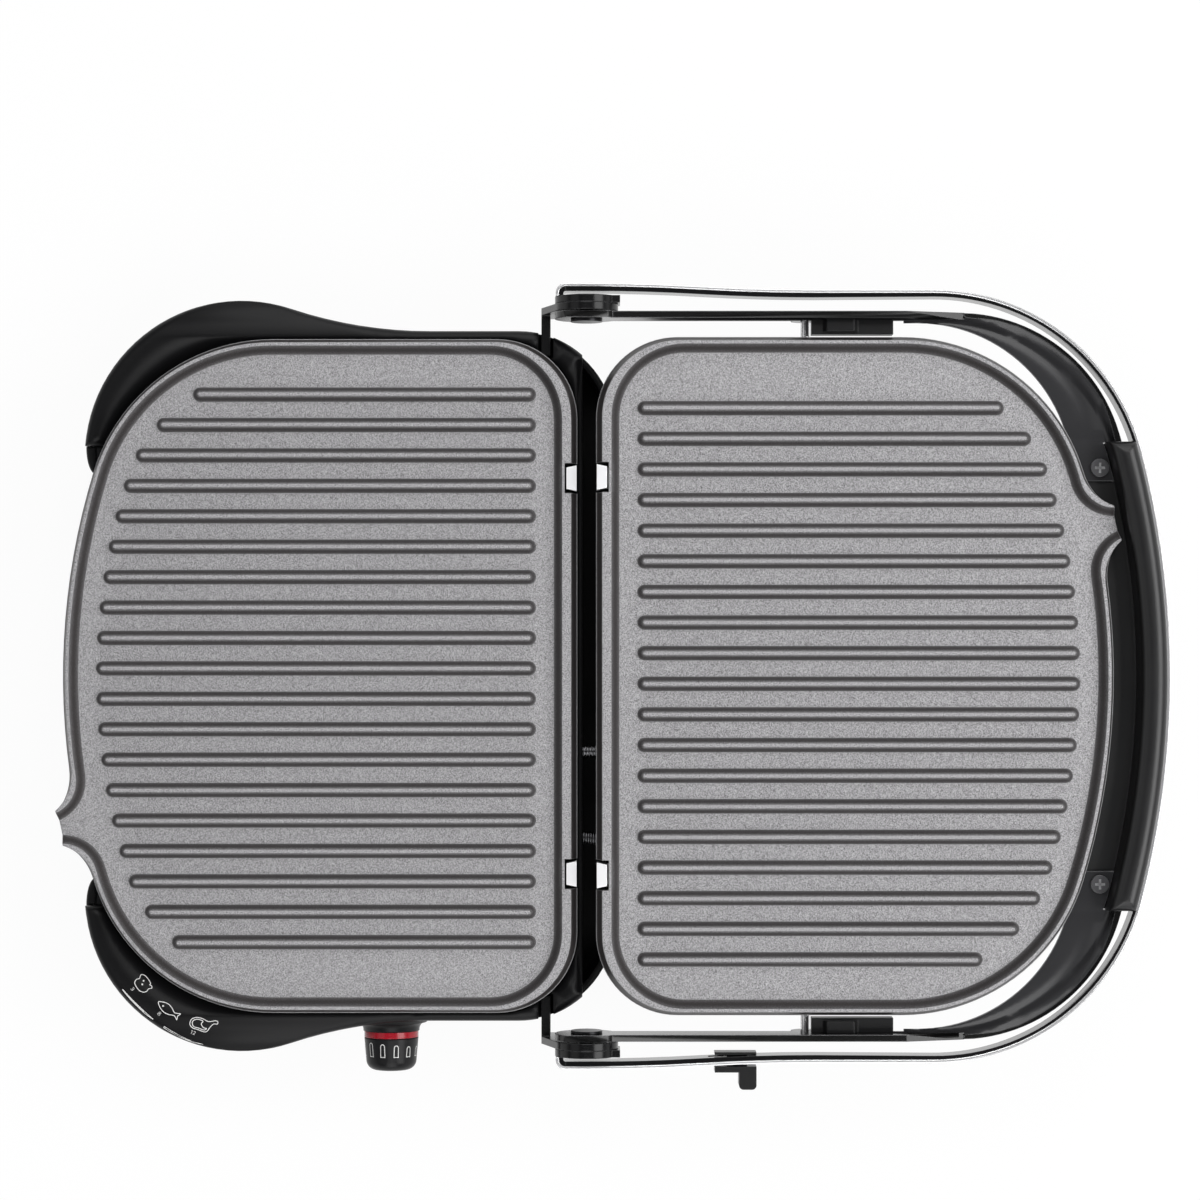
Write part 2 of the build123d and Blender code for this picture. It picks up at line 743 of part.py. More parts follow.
with BuildPart() as base_housing:
    with BuildSketch(Plane.XY.offset(foot_height)):
        add(base_outline(0))
    extrude(amount=shoulder_height - foot_height)
    fillet(base_housing.faces().sort_by(Axis.Z)[-1].edges(), base_edge_radius)
    with BuildSketch(Plane.XZ):
        with BuildLine():
            crown = TangentArc(
                (shoulder_half_width, shoulder_height),
                (pod_half_width + overrun, shoulder_height - shoulder_drop),
                tangent=(1, 0),
            )
            Line((0, shoulder_height), crown @ 0)
            Line(crown @ 1, (pod_half_width + overrun, foot_height))
            Line((pod_half_width + overrun, foot_height), (0, foot_height))
            mirror(about=Plane.YZ)
        make_face()
    extrude(amount=plate_front, both=True, mode=Mode.INTERSECT)
    with BuildSketch(Plane.XY.offset(shoulder_height + overrun)):
        add(plate_outline(-seat_clearance, -seat_clearance).rotate(Axis.Z, half_turn))
    extrude(amount=-(shoulder_height + overrun - flange_height + unit_drop), mode=Mode.SUBTRACT)
    with BuildSketch(Plane.XY.offset(deck_top)):
        add(well_outline())
    extrude(amount=shoulder_height - deck_top, mode=Mode.SUBTRACT)
    with BuildSketch(Plane.XY.offset(rear_deck_height)):
        with Locations((0, seat_clearance - plate_rear + rear_wall_thickness)):
            Rectangle(
                2 * pod_half_width,
                base_rear_radius,
                align=(Align.CENTER, Align.MIN),
            )
    extrude(amount=shoulder_height - rear_deck_height, mode=Mode.SUBTRACT)
    with BuildSketch(Plane.XY.offset(rear_wall_height)):
        with Locations((0, -plate_rear)):
            Rectangle(
                2 * well_half_width,
                base_rear_radius,
                align=(Align.CENTER, Align.MIN),
            )
    extrude(amount=shoulder_height - rear_wall_height, mode=Mode.SUBTRACT)
    with BuildSketch(Plane.XY.offset(bracket_leg_top - bracket_slot_depth)):
        for side in sides:
            with Locations((side * pod_half_width, -bracket_leg_front + bracket_leg_thickness / 2)):
                Rectangle(
                    2 * (pod_half_width - bracket_leg_inner + bracket_slot_clearance),
                    bracket_leg_thickness + 2 * bracket_slot_clearance,
                )
    extrude(amount=shoulder_height - bracket_leg_top + bracket_slot_depth, mode=Mode.SUBTRACT)
    with BuildSketch(Plane.XY.offset(foot_height)):
        add(base_outline(base_wall))
    extrude(amount=cavity_top - foot_height, mode=Mode.SUBTRACT)
    with BuildSketch(Plane.XY.offset(foot_height + bottom_cover_thickness)):
        with Locations(*screw_post_places):
            Circle(screw_post_diameter / 2)
    extrude(amount=cavity_top - foot_height - bottom_cover_thickness)
    with BuildSketch(Plane.XY.offset(foot_height)):
        with Locations(*screw_post_places):
            Circle(screw_diameter / 2)
    extrude(amount=screw_length, mode=Mode.SUBTRACT)
    with BuildSketch(Plane.YZ.offset(waist_half_width - base_wall)):
        with Locations((knob_y, knob_height)):
            Circle(knob_boss_diameter / 2)
    extrude(amount=knob_boss_rise + base_wall)
    with BuildSketch(Plane.YZ.offset(waist_half_width - 2 * base_wall)):
        with Locations((knob_y, knob_height)):
            Circle(thermostat_bush_diameter / 2)
    extrude(amount=knob_boss_rise + 2 * base_wall, mode=Mode.SUBTRACT)
    with BuildSketch(Plane.XY.offset(cavity_top)):
        with Locations(*[(x, -y) for x, y in terminal_places]):
            Circle(element_diameter / 2)
    extrude(amount=base_deck_thickness, mode=Mode.SUBTRACT)
    with BuildSketch(Plane.YZ.offset(-waist_half_width - overrun)):
        with Locations((outlet_y, outlet_height)):
            Circle(outlet_neck_diameter / 2)
    extrude(amount=base_wall + 2 * overrun, mode=Mode.SUBTRACT)
    add(hinge_bracket_left.part, mode=Mode.SUBTRACT)
    add(hinge_bracket_right.part, mode=Mode.SUBTRACT)
    add(lower_plate_lugs.part, mode=Mode.SUBTRACT)
    add(conduit_bars(conduit_diameter), mode=Mode.SUBTRACT)
write(base_housing, "base_housing")

# Front panel, bottom cover, feet and screws of the base

with BuildPart() as base_front_panel:
    with BuildSketch(Plane.XY.offset(front_panel_bottom)):
        with BuildLine():
            ThreePointArc(
                (-front_panel_half_width, front_panel_edge_y),
                (0, front_panel_middle_y),
                (front_panel_half_width, front_panel_edge_y),
            )
            Polyline(
                (-front_panel_half_width, front_panel_edge_y),
                (-front_panel_half_width, base_front_recess),
                (front_panel_half_width, base_front_recess),
                (front_panel_half_width, front_panel_edge_y),
            )
        make_face()
    extrude(amount=front_panel_top - front_panel_bottom)
    front_face = base_front_panel.faces().filter_by(GeomType.CYLINDER)
    fillet(front_face.edges().filter_by(GeomType.CIRCLE), front_panel_edge_radius)
write(base_front_panel, "base_front_panel")

with BuildPart() as base_bottom_cover:
    with BuildSketch(Plane.XY.offset(foot_height)):
        add(base_outline(base_wall))
        with Locations(*screw_post_places):
            Circle(screw_diameter / 2, mode=Mode.SUBTRACT)
    extrude(amount=bottom_cover_thickness)
write(base_bottom_cover, "base_bottom_cover")

foot_places = [
    (side * base_foot_x, y) for side in sides for y in (base_foot_rear_y, base_foot_front_y)
]

with BuildPart() as base_feet:
    with BuildSketch(Plane.XY):
        with Locations(*foot_places):
            Circle(base_foot_diameter / 2)
    extrude(amount=foot_height)
    ground_faces = base_feet.faces().filter_by(Axis.Z).group_by(Axis.Z)[0]
    fillet(ground_faces.edges(), foot_edge_radius)
write(base_feet, "base_feet")


# Round-headed screws that point up from a seat height, or down from it
def screws(places, seat, length, direction):
    with BuildPart() as group:
        with BuildSketch(Plane.XY.offset(seat)):
            with Locations(*places):
                Circle(screw_diameter / 2)
        extrude(amount=direction * length)
        with BuildSketch(Plane.XY.offset(seat)):
            with Locations(*places):
                Circle(screw_head_diameter / 2)
        extrude(amount=-direction * screw_head_height)
        head_top = seat - direction * screw_head_height
        with BuildSketch(Plane.XY.offset(head_top)):
            with Locations(*places):
                Rectangle(screw_recess_length, screw_recess_width)
                Rectangle(screw_recess_width, screw_recess_length)
        extrude(amount=direction * screw_recess_depth, mode=Mode.SUBTRACT)
    return group.part


with BuildPart() as base_screws:
    add(screws(screw_post_places, foot_height, screw_length, 1))
write(base_screws, "base_screws")

# Thermostat, its shaft, the ring and the knob, on one line across the base

ring_outer = knob_boss_reach + knob_ring_width
knob_inner = ring_outer + knob_gap
bush_inner = waist_half_width - 2 * base_wall
thermostat_inner = bush_inner - thermostat_length
shaft_end = knob_inner + knob_bore_depth

with BuildPart() as thermostat:
    with BuildSketch(Plane.YZ.offset(thermostat_inner)):
        with Locations((knob_y, knob_height)):
            Rectangle(thermostat_width, thermostat_tall)
    extrude(amount=thermostat_length)
    with BuildSketch(Plane.YZ.offset(bush_inner)):
        with Locations((knob_y, knob_height)):
            Circle(thermostat_bush_diameter / 2)
    extrude(amount=knob_boss_reach - bush_inner)
    with BuildSketch(Plane.YZ.offset(knob_boss_reach)):
        with Locations((knob_y, knob_height)):
            Circle(shaft_diameter / 2 + running_clearance)
    extrude(amount=-shaft_seat_length, mode=Mode.SUBTRACT)
write(thermostat, "thermostat")

with BuildPart() as knob_indicator_ring:
    with BuildSketch(Plane.YZ.offset(knob_boss_reach)):
        with Locations((knob_y, knob_height)):
            Circle(knob_ring_diameter / 2)
            Circle(knob_ring_bore / 2, mode=Mode.SUBTRACT)
    extrude(amount=knob_ring_width)
write(knob_indicator_ring, "knob_indicator_ring")

with BuildPart() as thermostat_shaft:
    with BuildSketch(Plane.YZ.offset(shaft_end)):
        with Locations((knob_y, knob_height)):
            Circle(shaft_diameter / 2)
    extrude(amount=-(shaft_end - knob_boss_reach + shaft_seat_length - knob_gap))
write(thermostat_shaft, "thermostat_shaft")

with BuildPart() as thermostat_knob:
    knob_slope = degrees(atan((knob_ring_diameter - knob_tip_diameter) / 2 / knob_length))
    with BuildSketch(Plane.YZ.offset(knob_inner)):
        with Locations((knob_y, knob_height)):
            Circle(knob_ring_diameter / 2)
    extrude(amount=knob_length, taper=knob_slope)
    fillet(thermostat_knob.faces().sort_by(Axis.X)[-1].edges(), knob_edge_radius)
    with BuildSketch(Plane.YZ.offset(knob_inner)):
        with Locations((knob_y, knob_height)):
            Circle(shaft_diameter / 2)
    extrude(amount=knob_bore_depth, mode=Mode.SUBTRACT)
write(thermostat_knob, "thermostat_knob")

with BuildPart() as cord_outlet_bush:
    with BuildSketch(Plane.YZ.offset(-waist_half_width)):
        with Locations((outlet_y, outlet_height)):
            Circle(outlet_flange_diameter / 2)
    extrude(amount=-outlet_flange_thickness)
    with BuildSketch(Plane.YZ.offset(-waist_half_width)):
        with Locations((outlet_y, outlet_height)):
            Circle(outlet_neck_diameter / 2)
    extrude(amount=2 * base_wall)
    with BuildSketch(Plane.YZ.offset(-waist_half_width - outlet_flange_thickness)):
        with Locations((outlet_y, outlet_height)):
            Circle(outlet_bore / 2)
    extrude(amount=2 * base_wall + outlet_flange_thickness, mode=Mode.SUBTRACT)
write(cord_outlet_bush, "cord_outlet_bush")

# Spring-sleeved conduits from the base to the lid

for label, (start, end) in zip(("conduit_a", "conduit_b"), conduit_lines):
    with BuildPart() as conduit:
        with BuildSketch(Plane(origin=start, z_dir=end - start)):
            Circle(conduit_diameter / 2)
        extrude(amount=(end - start).length)
    write(conduit, label)

# Arms: pressed strips from the pivots, round the corners to screwed tabs on the grip


def arm_outline(inset):
    return bow_outline(
        arm_half_width - inset,
        -arm_end_radius - overrun,
        arm_front - inset,
        arm_front_radius - inset,
        arm_corner_radius - inset,
    )


# Where the sloping side of the web meets its flat: a rounder corner than the arm's own
def arm_crease_outline():
    return bow_outline(
        arm_inner,
        -arm_end_radius - overrun,
        arm_front - arm_thickness,
        arm_front_radius - arm_thickness,
        arm_corner_radius - arm_thickness + arm_crease_growth,
    )


def arm_web_outline(setback):
    return bow_outline(
        arm_web_half_width + setback,
        -arm_end_radius - 2 * overrun,
        arm_web_front + setback,
        arm_web_front_radius + setback,
        arm_web_corner_radius + setback,
    )


def band_outline(inset, rear_reach):
    return bow_outline(
        band_waist - inset,
        -band_turn_start - rear_reach,
        band_front - inset,
        band_front_radius - inset,
        band_corner_radius - inset,
        spread=band_draw_in,
        spread_end=band_draw_end,
    )


# What the arm keeps, seen from the side
def arm_profile():
    with BuildSketch() as profile:
        with BuildLine():
            Polyline(
                (0, arm_bottom),
                (arm_front, arm_bottom),
                (arm_front, arm_bottom + arm_flange_height),
                (arm_slope_end, arm_bottom + arm_flange_height),
                (arm_straight_end, arm_bottom + arm_height),
                (0, arm_bottom + arm_height),
                close=True,
            )
        make_face()
        with Locations((0, hinge_height)):
            Circle(arm_end_radius)
        with Locations((pin_y, pin_height)):
            Circle(pin_lobe_radius)
    return profile.sketch


def arm(side):
    with BuildPart() as strip:
        with BuildSketch(Plane.XY.offset(pin_height - pin_lobe_radius)):
            add(arm_outline(0))
            add(arm_web_outline(0), mode=Mode.SUBTRACT)
        extrude(amount=2 * hinge_disc_radius)
        with BuildSketch(Plane.XY.offset(arm_web_top)):
            add(arm_crease_outline())
        with BuildSketch(Plane.XY.offset(arm_bottom + arm_flange_height)):
            add(arm_outline(arm_thickness))
        loft(ruled=True, mode=Mode.SUBTRACT)
        with BuildSketch(Plane.XY.offset(arm_bottom + arm_flange_height)):
            add(arm_outline(arm_thickness))
        extrude(amount=2 * hinge_disc_radius, mode=Mode.SUBTRACT)
        with BuildSketch(Plane.XY.offset(arm_bottom)):
            add(arm_outline(arm_thickness))
        extrude(amount=-hinge_disc_radius, mode=Mode.SUBTRACT)
        with BuildSketch(Plane.XY.offset(pin_height - pin_lobe_radius)):
            Rectangle(
                2 * (arm_half_width - arm_thickness),
                2 * arm_straight_end,
            )
        extrude(amount=2 * hinge_disc_radius, mode=Mode.SUBTRACT)
        with BuildSketch(Plane.YZ.offset(side * arm_tip_offset)):
            add(arm_profile())
        extrude(amount=side * arm_half_width, mode=Mode.INTERSECT)
        with BuildSketch(Plane.XY.offset(arm_bottom)):
            add(band_outline(0, 0))
            add(band_outline(band_thickness + grip_width + arm_tip_gap, overrun), mode=Mode.SUBTRACT)
            with Locations((0, band_front)):
                Rectangle(
                    2 * (grip_end + arm_tip_gap),
                    2 * arm_corner_radius,
                    mode=Mode.INTERSECT,
                )
        extrude(amount=arm_height, mode=Mode.SUBTRACT)
        with BuildSketch(Plane.XY.offset(arm_bottom)):
            add(arm_web_outline(arm_tab_setback))
            with Locations((0, arm_web_front)):
                Rectangle(2 * arm_tab_start, 2 * arm_corner_radius, mode=Mode.INTERSECT)
            with Locations((side * grip_screw_x, grip_screw_y)):
                Circle(screw_diameter / 2)
        extrude(amount=arm_web_thickness, mode=Mode.SUBTRACT)
        with BuildSketch(Plane.YZ.offset(side * (arm_half_width - arm_thickness))):
            with Locations((0, hinge_height)):
                Circle(rivet_diameter / 2)
            with Locations((pin_y, pin_height)):
                Circle(pin_diameter / 2 + running_clearance)
        extrude(amount=side * arm_thickness, mode=Mode.SUBTRACT)
    return strip.part


with BuildPart() as arm_left:
    add(arm(-1))
write(arm_left, "arm_left")

with BuildPart() as arm_right:
    add(arm(1))
write(arm_right, "arm_right")

# Outer hinge discs and the pivot rivets


def hinge_disc(side):
    with BuildPart() as disc:
        with BuildSketch(Plane.YZ.offset(side * outer_disc_inner)):
            with Locations((0, hinge_height)):
                Circle(hinge_disc_radius)
                Rectangle(
                    disc_lug_reach,
                    disc_lug_height,
                    align=(Align.MIN, Align.CENTER),
                )
                Circle(rivet_diameter / 2, mode=Mode.SUBTRACT)
        extrude(amount=side * hinge_disc_thickness)
    return disc.part


with BuildPart() as hinge_disc_left:
    add(hinge_disc(-1))
write(hinge_disc_left, "hinge_disc_left")

with BuildPart() as hinge_disc_right:
    add(hinge_disc(1))
write(hinge_disc_right, "hinge_disc_right")

with BuildPart() as pivot_rivets:
    for side in sides:
        with BuildSketch(Plane.YZ.offset(side * (arm_inner - rivet_ring_height))):
            with Locations((0, hinge_height)):
                Circle(rivet_diameter / 2)
        extrude(amount=side * (disc_outer - arm_inner + rivet_ring_height))
        with BuildSketch(Plane.YZ.offset(side * (arm_inner - rivet_ring_height))):
            with Locations((0, hinge_height)):
                Circle(rivet_ring_diameter / 2)
        extrude(amount=side * rivet_ring_height)
        with BuildSketch(Plane.YZ.offset(side * disc_outer)):
            with Locations((0, hinge_height)):
                Circle(rivet_head_diameter / 2)
        extrude(amount=side * rivet_head_height)
write(pivot_rivets, "pivot_rivets")

# Handle band: one bright strip round the arms, turned in at its ends onto the hinge discs

slot_rear = slide_stem_rear - slide_travel - slide_gap
slot_length = slide_stem_front + slide_gap - slot_rear

with BuildPart() as handle_band:
    turn_x = band_half_width - band_turn_radius
    with BuildSketch(Plane.XY.offset(band_bottom)):
        add(band_outline(0, 0))
        add(band_outline(band_thickness, overrun), mode=Mode.SUBTRACT)
        for side in sides:
            with Locations((side * turn_x, -band_turn_start)):
                Circle(band_turn_radius)
            with Locations((side * disc_outer, -band_turn_start)):
                Rectangle(
                    2 * (turn_x - disc_outer),
                    2 * band_turn_radius,
                )
            with Locations((side * turn_x, -band_turn_start)):
                Circle(band_turn_radius - band_thickness, mode=Mode.SUBTRACT)
            with Locations((0, -band_turn_start)):
                Rectangle(
                    2 * turn_x,
                    2 * (band_turn_radius - band_thickness),
                    mode=Mode.SUBTRACT,
                )
                Rectangle(
                    2 * (band_half_width - band_thickness),
                    2 * band_turn_radius,
                    align=(Align.CENTER, Align.MIN),
                    mode=Mode.SUBTRACT,
                )
        Rectangle(2 * disc_outer, 2 * hinge_disc_radius + overrun, mode=Mode.SUBTRACT)
    extrude(amount=band_height)
    with BuildSketch(Plane.XY.offset(hinge_height - slide_stem_height / 2 - slide_gap)):
        with Locations((band_half_width, slot_rear)):
            Rectangle(
                2 * (band_draw_in + band_thickness + liner_thickness),
                slot_length,
                align=(Align.CENTER, Align.MIN),
            )
    extrude(amount=slide_stem_height + 2 * slide_gap, mode=Mode.SUBTRACT)
write(handle_band, "handle_band")


def handle_liner(side):
    with BuildPart() as liner:
        with BuildSketch(Plane.XY.offset(liner_bottom)):
            add(band_outline(band_thickness, 0))
            add(band_outline(band_thickness + liner_thickness, overrun), mode=Mode.SUBTRACT)
            with Locations((side * (grip_end + band_half_width) / 2, -band_turn_start)):
                Rectangle(
                    band_half_width - grip_end,
                    band_front + band_turn_start,
                    align=(Align.CENTER, Align.MIN),
                    mode=Mode.INTERSECT,
                )
        extrude(amount=liner_height)
        with BuildSketch(Plane.XY.offset(hinge_height - slide_stem_height / 2 - slide_gap)):
            with Locations((band_half_width, slot_rear)):
                Rectangle(
                    2 * (band_draw_in + band_thickness + liner_thickness + overrun),
                    slot_length,
                    align=(Align.CENTER, Align.MIN),
                )
        extrude(amount=slide_stem_height + 2 * slide_gap, mode=Mode.SUBTRACT)
    return liner.part


with BuildPart() as handle_liner_left:
    add(handle_liner(-1))
write(handle_liner_left, "handle_liner_left")

with BuildPart() as handle_liner_right:
    add(handle_liner(1))
write(handle_liner_right, "handle_liner_right")

# Grip: a rounded bar behind the band, with a flat web that carries the arm tabs

grip_screw_places = [(side * grip_screw_x, grip_screw_y) for side in sides]

with BuildPart() as handle_grip:
    with BuildSketch(Plane.XY.offset(grip_bottom)):
        add(band_outline(band_thickness, 0))
        add(band_outline(band_thickness + grip_width, overrun), mode=Mode.SUBTRACT)
        with Locations((0, band_front)):
            Rectangle(2 * grip_end, band_half_width, mode=Mode.INTERSECT)
    extrude(amount=grip_height)
    level_faces = handle_grip.faces().filter_by(Axis.Z)
    fillet(level_faces.edges(), grip_edge_radius)
    with BuildSketch(Plane.XY.offset(grip_web_bottom)):
        add(band_outline(band_thickness + grip_width - grip_web_overlap, 0))
        add(arm_web_outline(0), mode=Mode.SUBTRACT)
        with Locations((0, band_front)):
            Rectangle(2 * grip_end, band_half_width, mode=Mode.INTERSECT)
    extrude(amount=arm_bottom - grip_web_bottom)
    with BuildSketch(Plane.XY.offset(grip_web_bottom)):
        with Locations(*grip_screw_places):
            Circle(grip_boss_diameter / 2)
    extrude(amount=-grip_boss_height)
    with BuildSketch(Plane.XY.offset(arm_bottom)):
        with Locations(*grip_screw_places):
            Circle(screw_diameter / 2)
    extrude(amount=-grip_screw_length, mode=Mode.SUBTRACT)
write(handle_grip, "handle_grip")

with BuildPart() as grip_screws:
    add(screws(grip_screw_places, arm_web_top, arm_web_thickness + grip_screw_length, -1))
write(grip_screws, "grip_screws")


# Tilt stops: blocks on the arms beside the lid, each with a raised boss
def tilt_stop(side):
    with BuildPart() as stop:
        with BuildSketch(Plane.YZ.offset(side * stop_inner)):
            with Locations((stop_rear, arm_bottom)):
                Rectangle(
                    stop_front - stop_rear,
                    stop_height,
                    align=(Align.MIN, Align.MIN),
                )
        extrude(amount=side * (arm_inner - stop_inner))
        with BuildSketch(Plane.YZ.offset(side * stop_boss_inner)):
            with Locations(((stop_boss_rear + stop_boss_front) / 2, arm_bottom + stop_height)):
                Trapezoid(
                    stop_boss_front - stop_boss_rear,
                    stop_boss_rise,
                    stop_boss_angle,
                    align=(Align.CENTER, Align.MIN),
                )
        extrude(amount=side * (arm_inner - stop_boss_inner))
    return stop.part


with BuildPart() as tilt_stop_left:
    add(tilt_stop(-1))
write(tilt_stop_left, "tilt_stop_left")

with BuildPart() as tilt_stop_right:
    add(tilt_stop(1))
write(tilt_stop_right, "tilt_stop_right")

# Lock slide: finger and thumb block outside the band, stem in its slot, keeper inside

with BuildPart() as lock_slide:
    with BuildSketch(Plane.YZ.offset(slide_face)):
        with Locations((slide_rear, hinge_height)):
            Rectangle(
                slide_front - slide_rear,
                slide_height,
                align=(Align.MIN, Align.CENTER),
            )
    extrude(amount=slide_finger_thickness)
    with BuildSketch(Plane.YZ.offset(slide_face)):
        with Locations((slide_thumb_rear, hinge_height)):
            Rectangle(
                slide_front - slide_thumb_rear,
                slide_height,
                align=(Align.MIN, Align.CENTER),
            )
    extrude(amount=slide_projection)
    thumb_edges = lock_slide.edges().filter_by(Axis.Z).group_by(Axis.X)[-1]
    fillet(thumb_edges, slide_edge_radius)
    with BuildSketch(Plane.YZ.offset(slide_face)):
        with Locations((slide_stem_rear, hinge_height)):
            Rectangle(
                slide_stem_front - slide_stem_rear,
                slide_stem_height,
                align=(Align.MIN, Align.CENTER),
            )
    extrude(amount=keeper_face - slide_face)
    with BuildSketch(Plane.YZ.offset(keeper_face)):
        with Locations((slide_rear, hinge_height)):
            Rectangle(
                slide_front - slide_rear,
                slide_keeper_height,
                align=(Align.MIN, Align.CENTER),
            )
    extrude(amount=-slide_keeper_thickness)
write(lock_slide, "lock_slide")

# Lid cover: a deep drafted shell under the upper plate, the lid's top when it is closed


def cover_outline(inset):
    return bow_outline(
        cover_half_width - inset,
        cover_rear + inset,
        cover_front - inset,
        cover_front_radius - inset,
        cover_corner_radius - inset,
        cover_rear_radius - inset,
    )


def cover_block(inset):
    dome_height = flange_height - cover_skirt_height - cover_floor_height - inset
    with BuildPart() as block:
        with BuildSketch(Plane.XY.offset(flange_height)):
            add(cover_outline(inset))
        extrude(amount=-cover_skirt_height)
        with BuildSketch(Plane.XY.offset(flange_height - cover_skirt_height)):
            add(cover_outline(inset))
        extrude(amount=-dome_height, taper=cover_draft)
        crown_face = block.faces().filter_by(Axis.Z).sort_by(Axis.Z)[0]
        fillet(crown_face.edges(), cover_edge_radius - inset)
    return block.part


lid_screw_places = [
    (side * lid_screw_x, y) for side in sides for y in (lid_screw_rear_y, lid_screw_front_y)
]
frame_bottom = frame_top - frame_thickness

with BuildPart() as lid_cover:
    add(cover_block(0))
    add(cover_block(cover_wall), mode=Mode.SUBTRACT)
    with BuildSketch(Plane.XY.offset(frame_bottom)):
        with Locations(*lid_screw_places):
            Circle(screw_post_diameter / 2)
    extrude(amount=cover_floor_height + cover_wall - frame_bottom)
    with BuildSketch(Plane.XY.offset(frame_bottom)):
        with Locations(*lid_screw_places):
            Circle(screw_diameter / 2)
    extrude(amount=-screw_length, mode=Mode.SUBTRACT)
    for side in sides:
        with BuildSketch(Plane.YZ.offset(side * pin_inner)):
            with Locations((pin_y, pin_height)):
                Circle(pin_diameter / 2)
        extrude(amount=side * (cover_half_width - pin_inner), mode=Mode.SUBTRACT)
    add(upper_plate_lugs.part, mode=Mode.SUBTRACT)
    add(conduit_bars(conduit_diameter), mode=Mode.SUBTRACT)
write(lid_cover, "lid_cover")

with BuildPart() as lid_frame:
    with BuildSketch(Plane.XY.offset(frame_bottom)):
        add(cover_outline(cover_wall))
        with Locations(*lid_screw_places):
            Circle(screw_diameter / 2, mode=Mode.SUBTRACT)
        with Locations(*terminal_places):
            Circle(element_diameter / 2, mode=Mode.SUBTRACT)
    extrude(amount=frame_thickness)
write(lid_frame, "lid_frame")

with BuildPart() as lid_screws:
    add(screws(lid_screw_places, frame_top, frame_thickness + screw_length, -1))
write(lid_screws, "lid_screws")

with BuildPart() as lid_axle_pins:
    for side in sides:
        with BuildSketch(Plane.YZ.offset(side * pin_inner)):
            with Locations((pin_y, pin_height)):
                Circle(pin_diameter / 2)
        extrude(amount=side * (arm_half_width + running_clearance - pin_inner))
        with BuildSketch(Plane.YZ.offset(side * (arm_half_width + running_clearance))):
            with Locations((pin_y, pin_height)):
                Circle(pin_head_diameter / 2)
        extrude(amount=side * pin_head_height)
write(lid_axle_pins, "lid_axle_pins")

with BuildPart() as lid_side_brackets:
    for side in sides:
        with BuildSketch(Plane.YZ.offset(side * (cover_half_width - cover_wall))):
            with Locations((pin_y, frame_top)):
                Rectangle(
                    lid_bracket_width,
                    lid_bracket_height,
                    align=(Align.CENTER, Align.MIN),
                )
            with Locations((pin_y, pin_height)):
                Circle(pin_diameter / 2, mode=Mode.SUBTRACT)
        extrude(amount=-side * lid_bracket_thickness)
write(lid_side_brackets, "lid_side_brackets")

lid_foot_places = [
    (side * lid_foot_x, y) for side in sides for y in (lid_foot_rear_y, lid_foot_front_y)
]

with BuildPart() as lid_rest_feet:
    with BuildSketch(Plane.XY):
        with Locations(*lid_foot_places):
            Circle(lid_foot_diameter / 2)
    extrude(amount=cover_floor_height)
    ground_faces = lid_rest_feet.faces().filter_by(Axis.Z).group_by(Axis.Z)[0]
    fillet(ground_faces.edges(), foot_edge_radius)
write(lid_rest_feet, "lid_rest_feet")
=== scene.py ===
import json
import math

import bmesh
import bpy
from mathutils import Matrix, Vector
from mathutils.bvhtree import BVHTree


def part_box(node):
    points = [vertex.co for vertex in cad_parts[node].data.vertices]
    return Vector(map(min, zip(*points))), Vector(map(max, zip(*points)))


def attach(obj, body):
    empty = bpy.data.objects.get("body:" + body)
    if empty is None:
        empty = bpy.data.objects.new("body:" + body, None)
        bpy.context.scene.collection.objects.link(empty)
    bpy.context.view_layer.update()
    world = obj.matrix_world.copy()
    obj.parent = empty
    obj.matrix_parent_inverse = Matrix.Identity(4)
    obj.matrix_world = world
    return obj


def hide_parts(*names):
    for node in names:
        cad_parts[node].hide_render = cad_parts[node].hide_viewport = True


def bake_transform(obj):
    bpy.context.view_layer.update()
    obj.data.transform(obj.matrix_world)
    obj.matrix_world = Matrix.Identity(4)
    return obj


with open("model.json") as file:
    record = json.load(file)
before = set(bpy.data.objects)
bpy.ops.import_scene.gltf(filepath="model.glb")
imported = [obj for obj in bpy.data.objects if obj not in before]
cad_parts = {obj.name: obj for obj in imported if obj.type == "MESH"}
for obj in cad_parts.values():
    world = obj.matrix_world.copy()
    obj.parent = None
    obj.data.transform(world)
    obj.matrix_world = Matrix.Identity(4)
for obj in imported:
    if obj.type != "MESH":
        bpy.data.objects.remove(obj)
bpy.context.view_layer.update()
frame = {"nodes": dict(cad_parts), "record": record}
nodes = frame["nodes"]
print("frame loaded:", len(nodes), "nodes")


def link(tree, source, target):
    tree.links.new(source, target)


def fill(tree, socket, value):
    # a socket takes a plain value or another node's output
    if isinstance(value, (int, float, tuple)):
        socket.default_value = value
    elif value is not None:
        link(tree, value, socket)


def mathNode(tree, operation, first, second=None, third=None, clamp=False):
    node = tree.nodes.new("ShaderNodeMath")
    node.operation = operation
    node.use_clamp = clamp
    for socket, value in zip(node.inputs, (first, second, third)):
        fill(tree, socket, value)
    return node.outputs[0]


def mixColour(tree, factor, first, second, blend="MIX"):
    node = tree.nodes.new("ShaderNodeMix")
    node.data_type = "RGBA"
    node.blend_type = blend
    sockets = (node.inputs[0], node.inputs[6], node.inputs[7])   # the factor and the two colours
    for socket, value in zip(sockets, (factor, first, second)):
        fill(tree, socket, value)
    return node.outputs[2]


def fadeNode(tree, value, low, high, start=0.0, end=1.0):
    # runs smoothly from start to end while the value goes from low to high
    node = tree.nodes.new("ShaderNodeMapRange")
    node.interpolation_type = "SMOOTHSTEP"
    labels = ("Value", "From Min", "From Max", "To Min", "To Max")
    for label, part in zip(labels, (value, low, high, start, end)):
        fill(tree, node.inputs[label], part)
    return node.outputs[0]


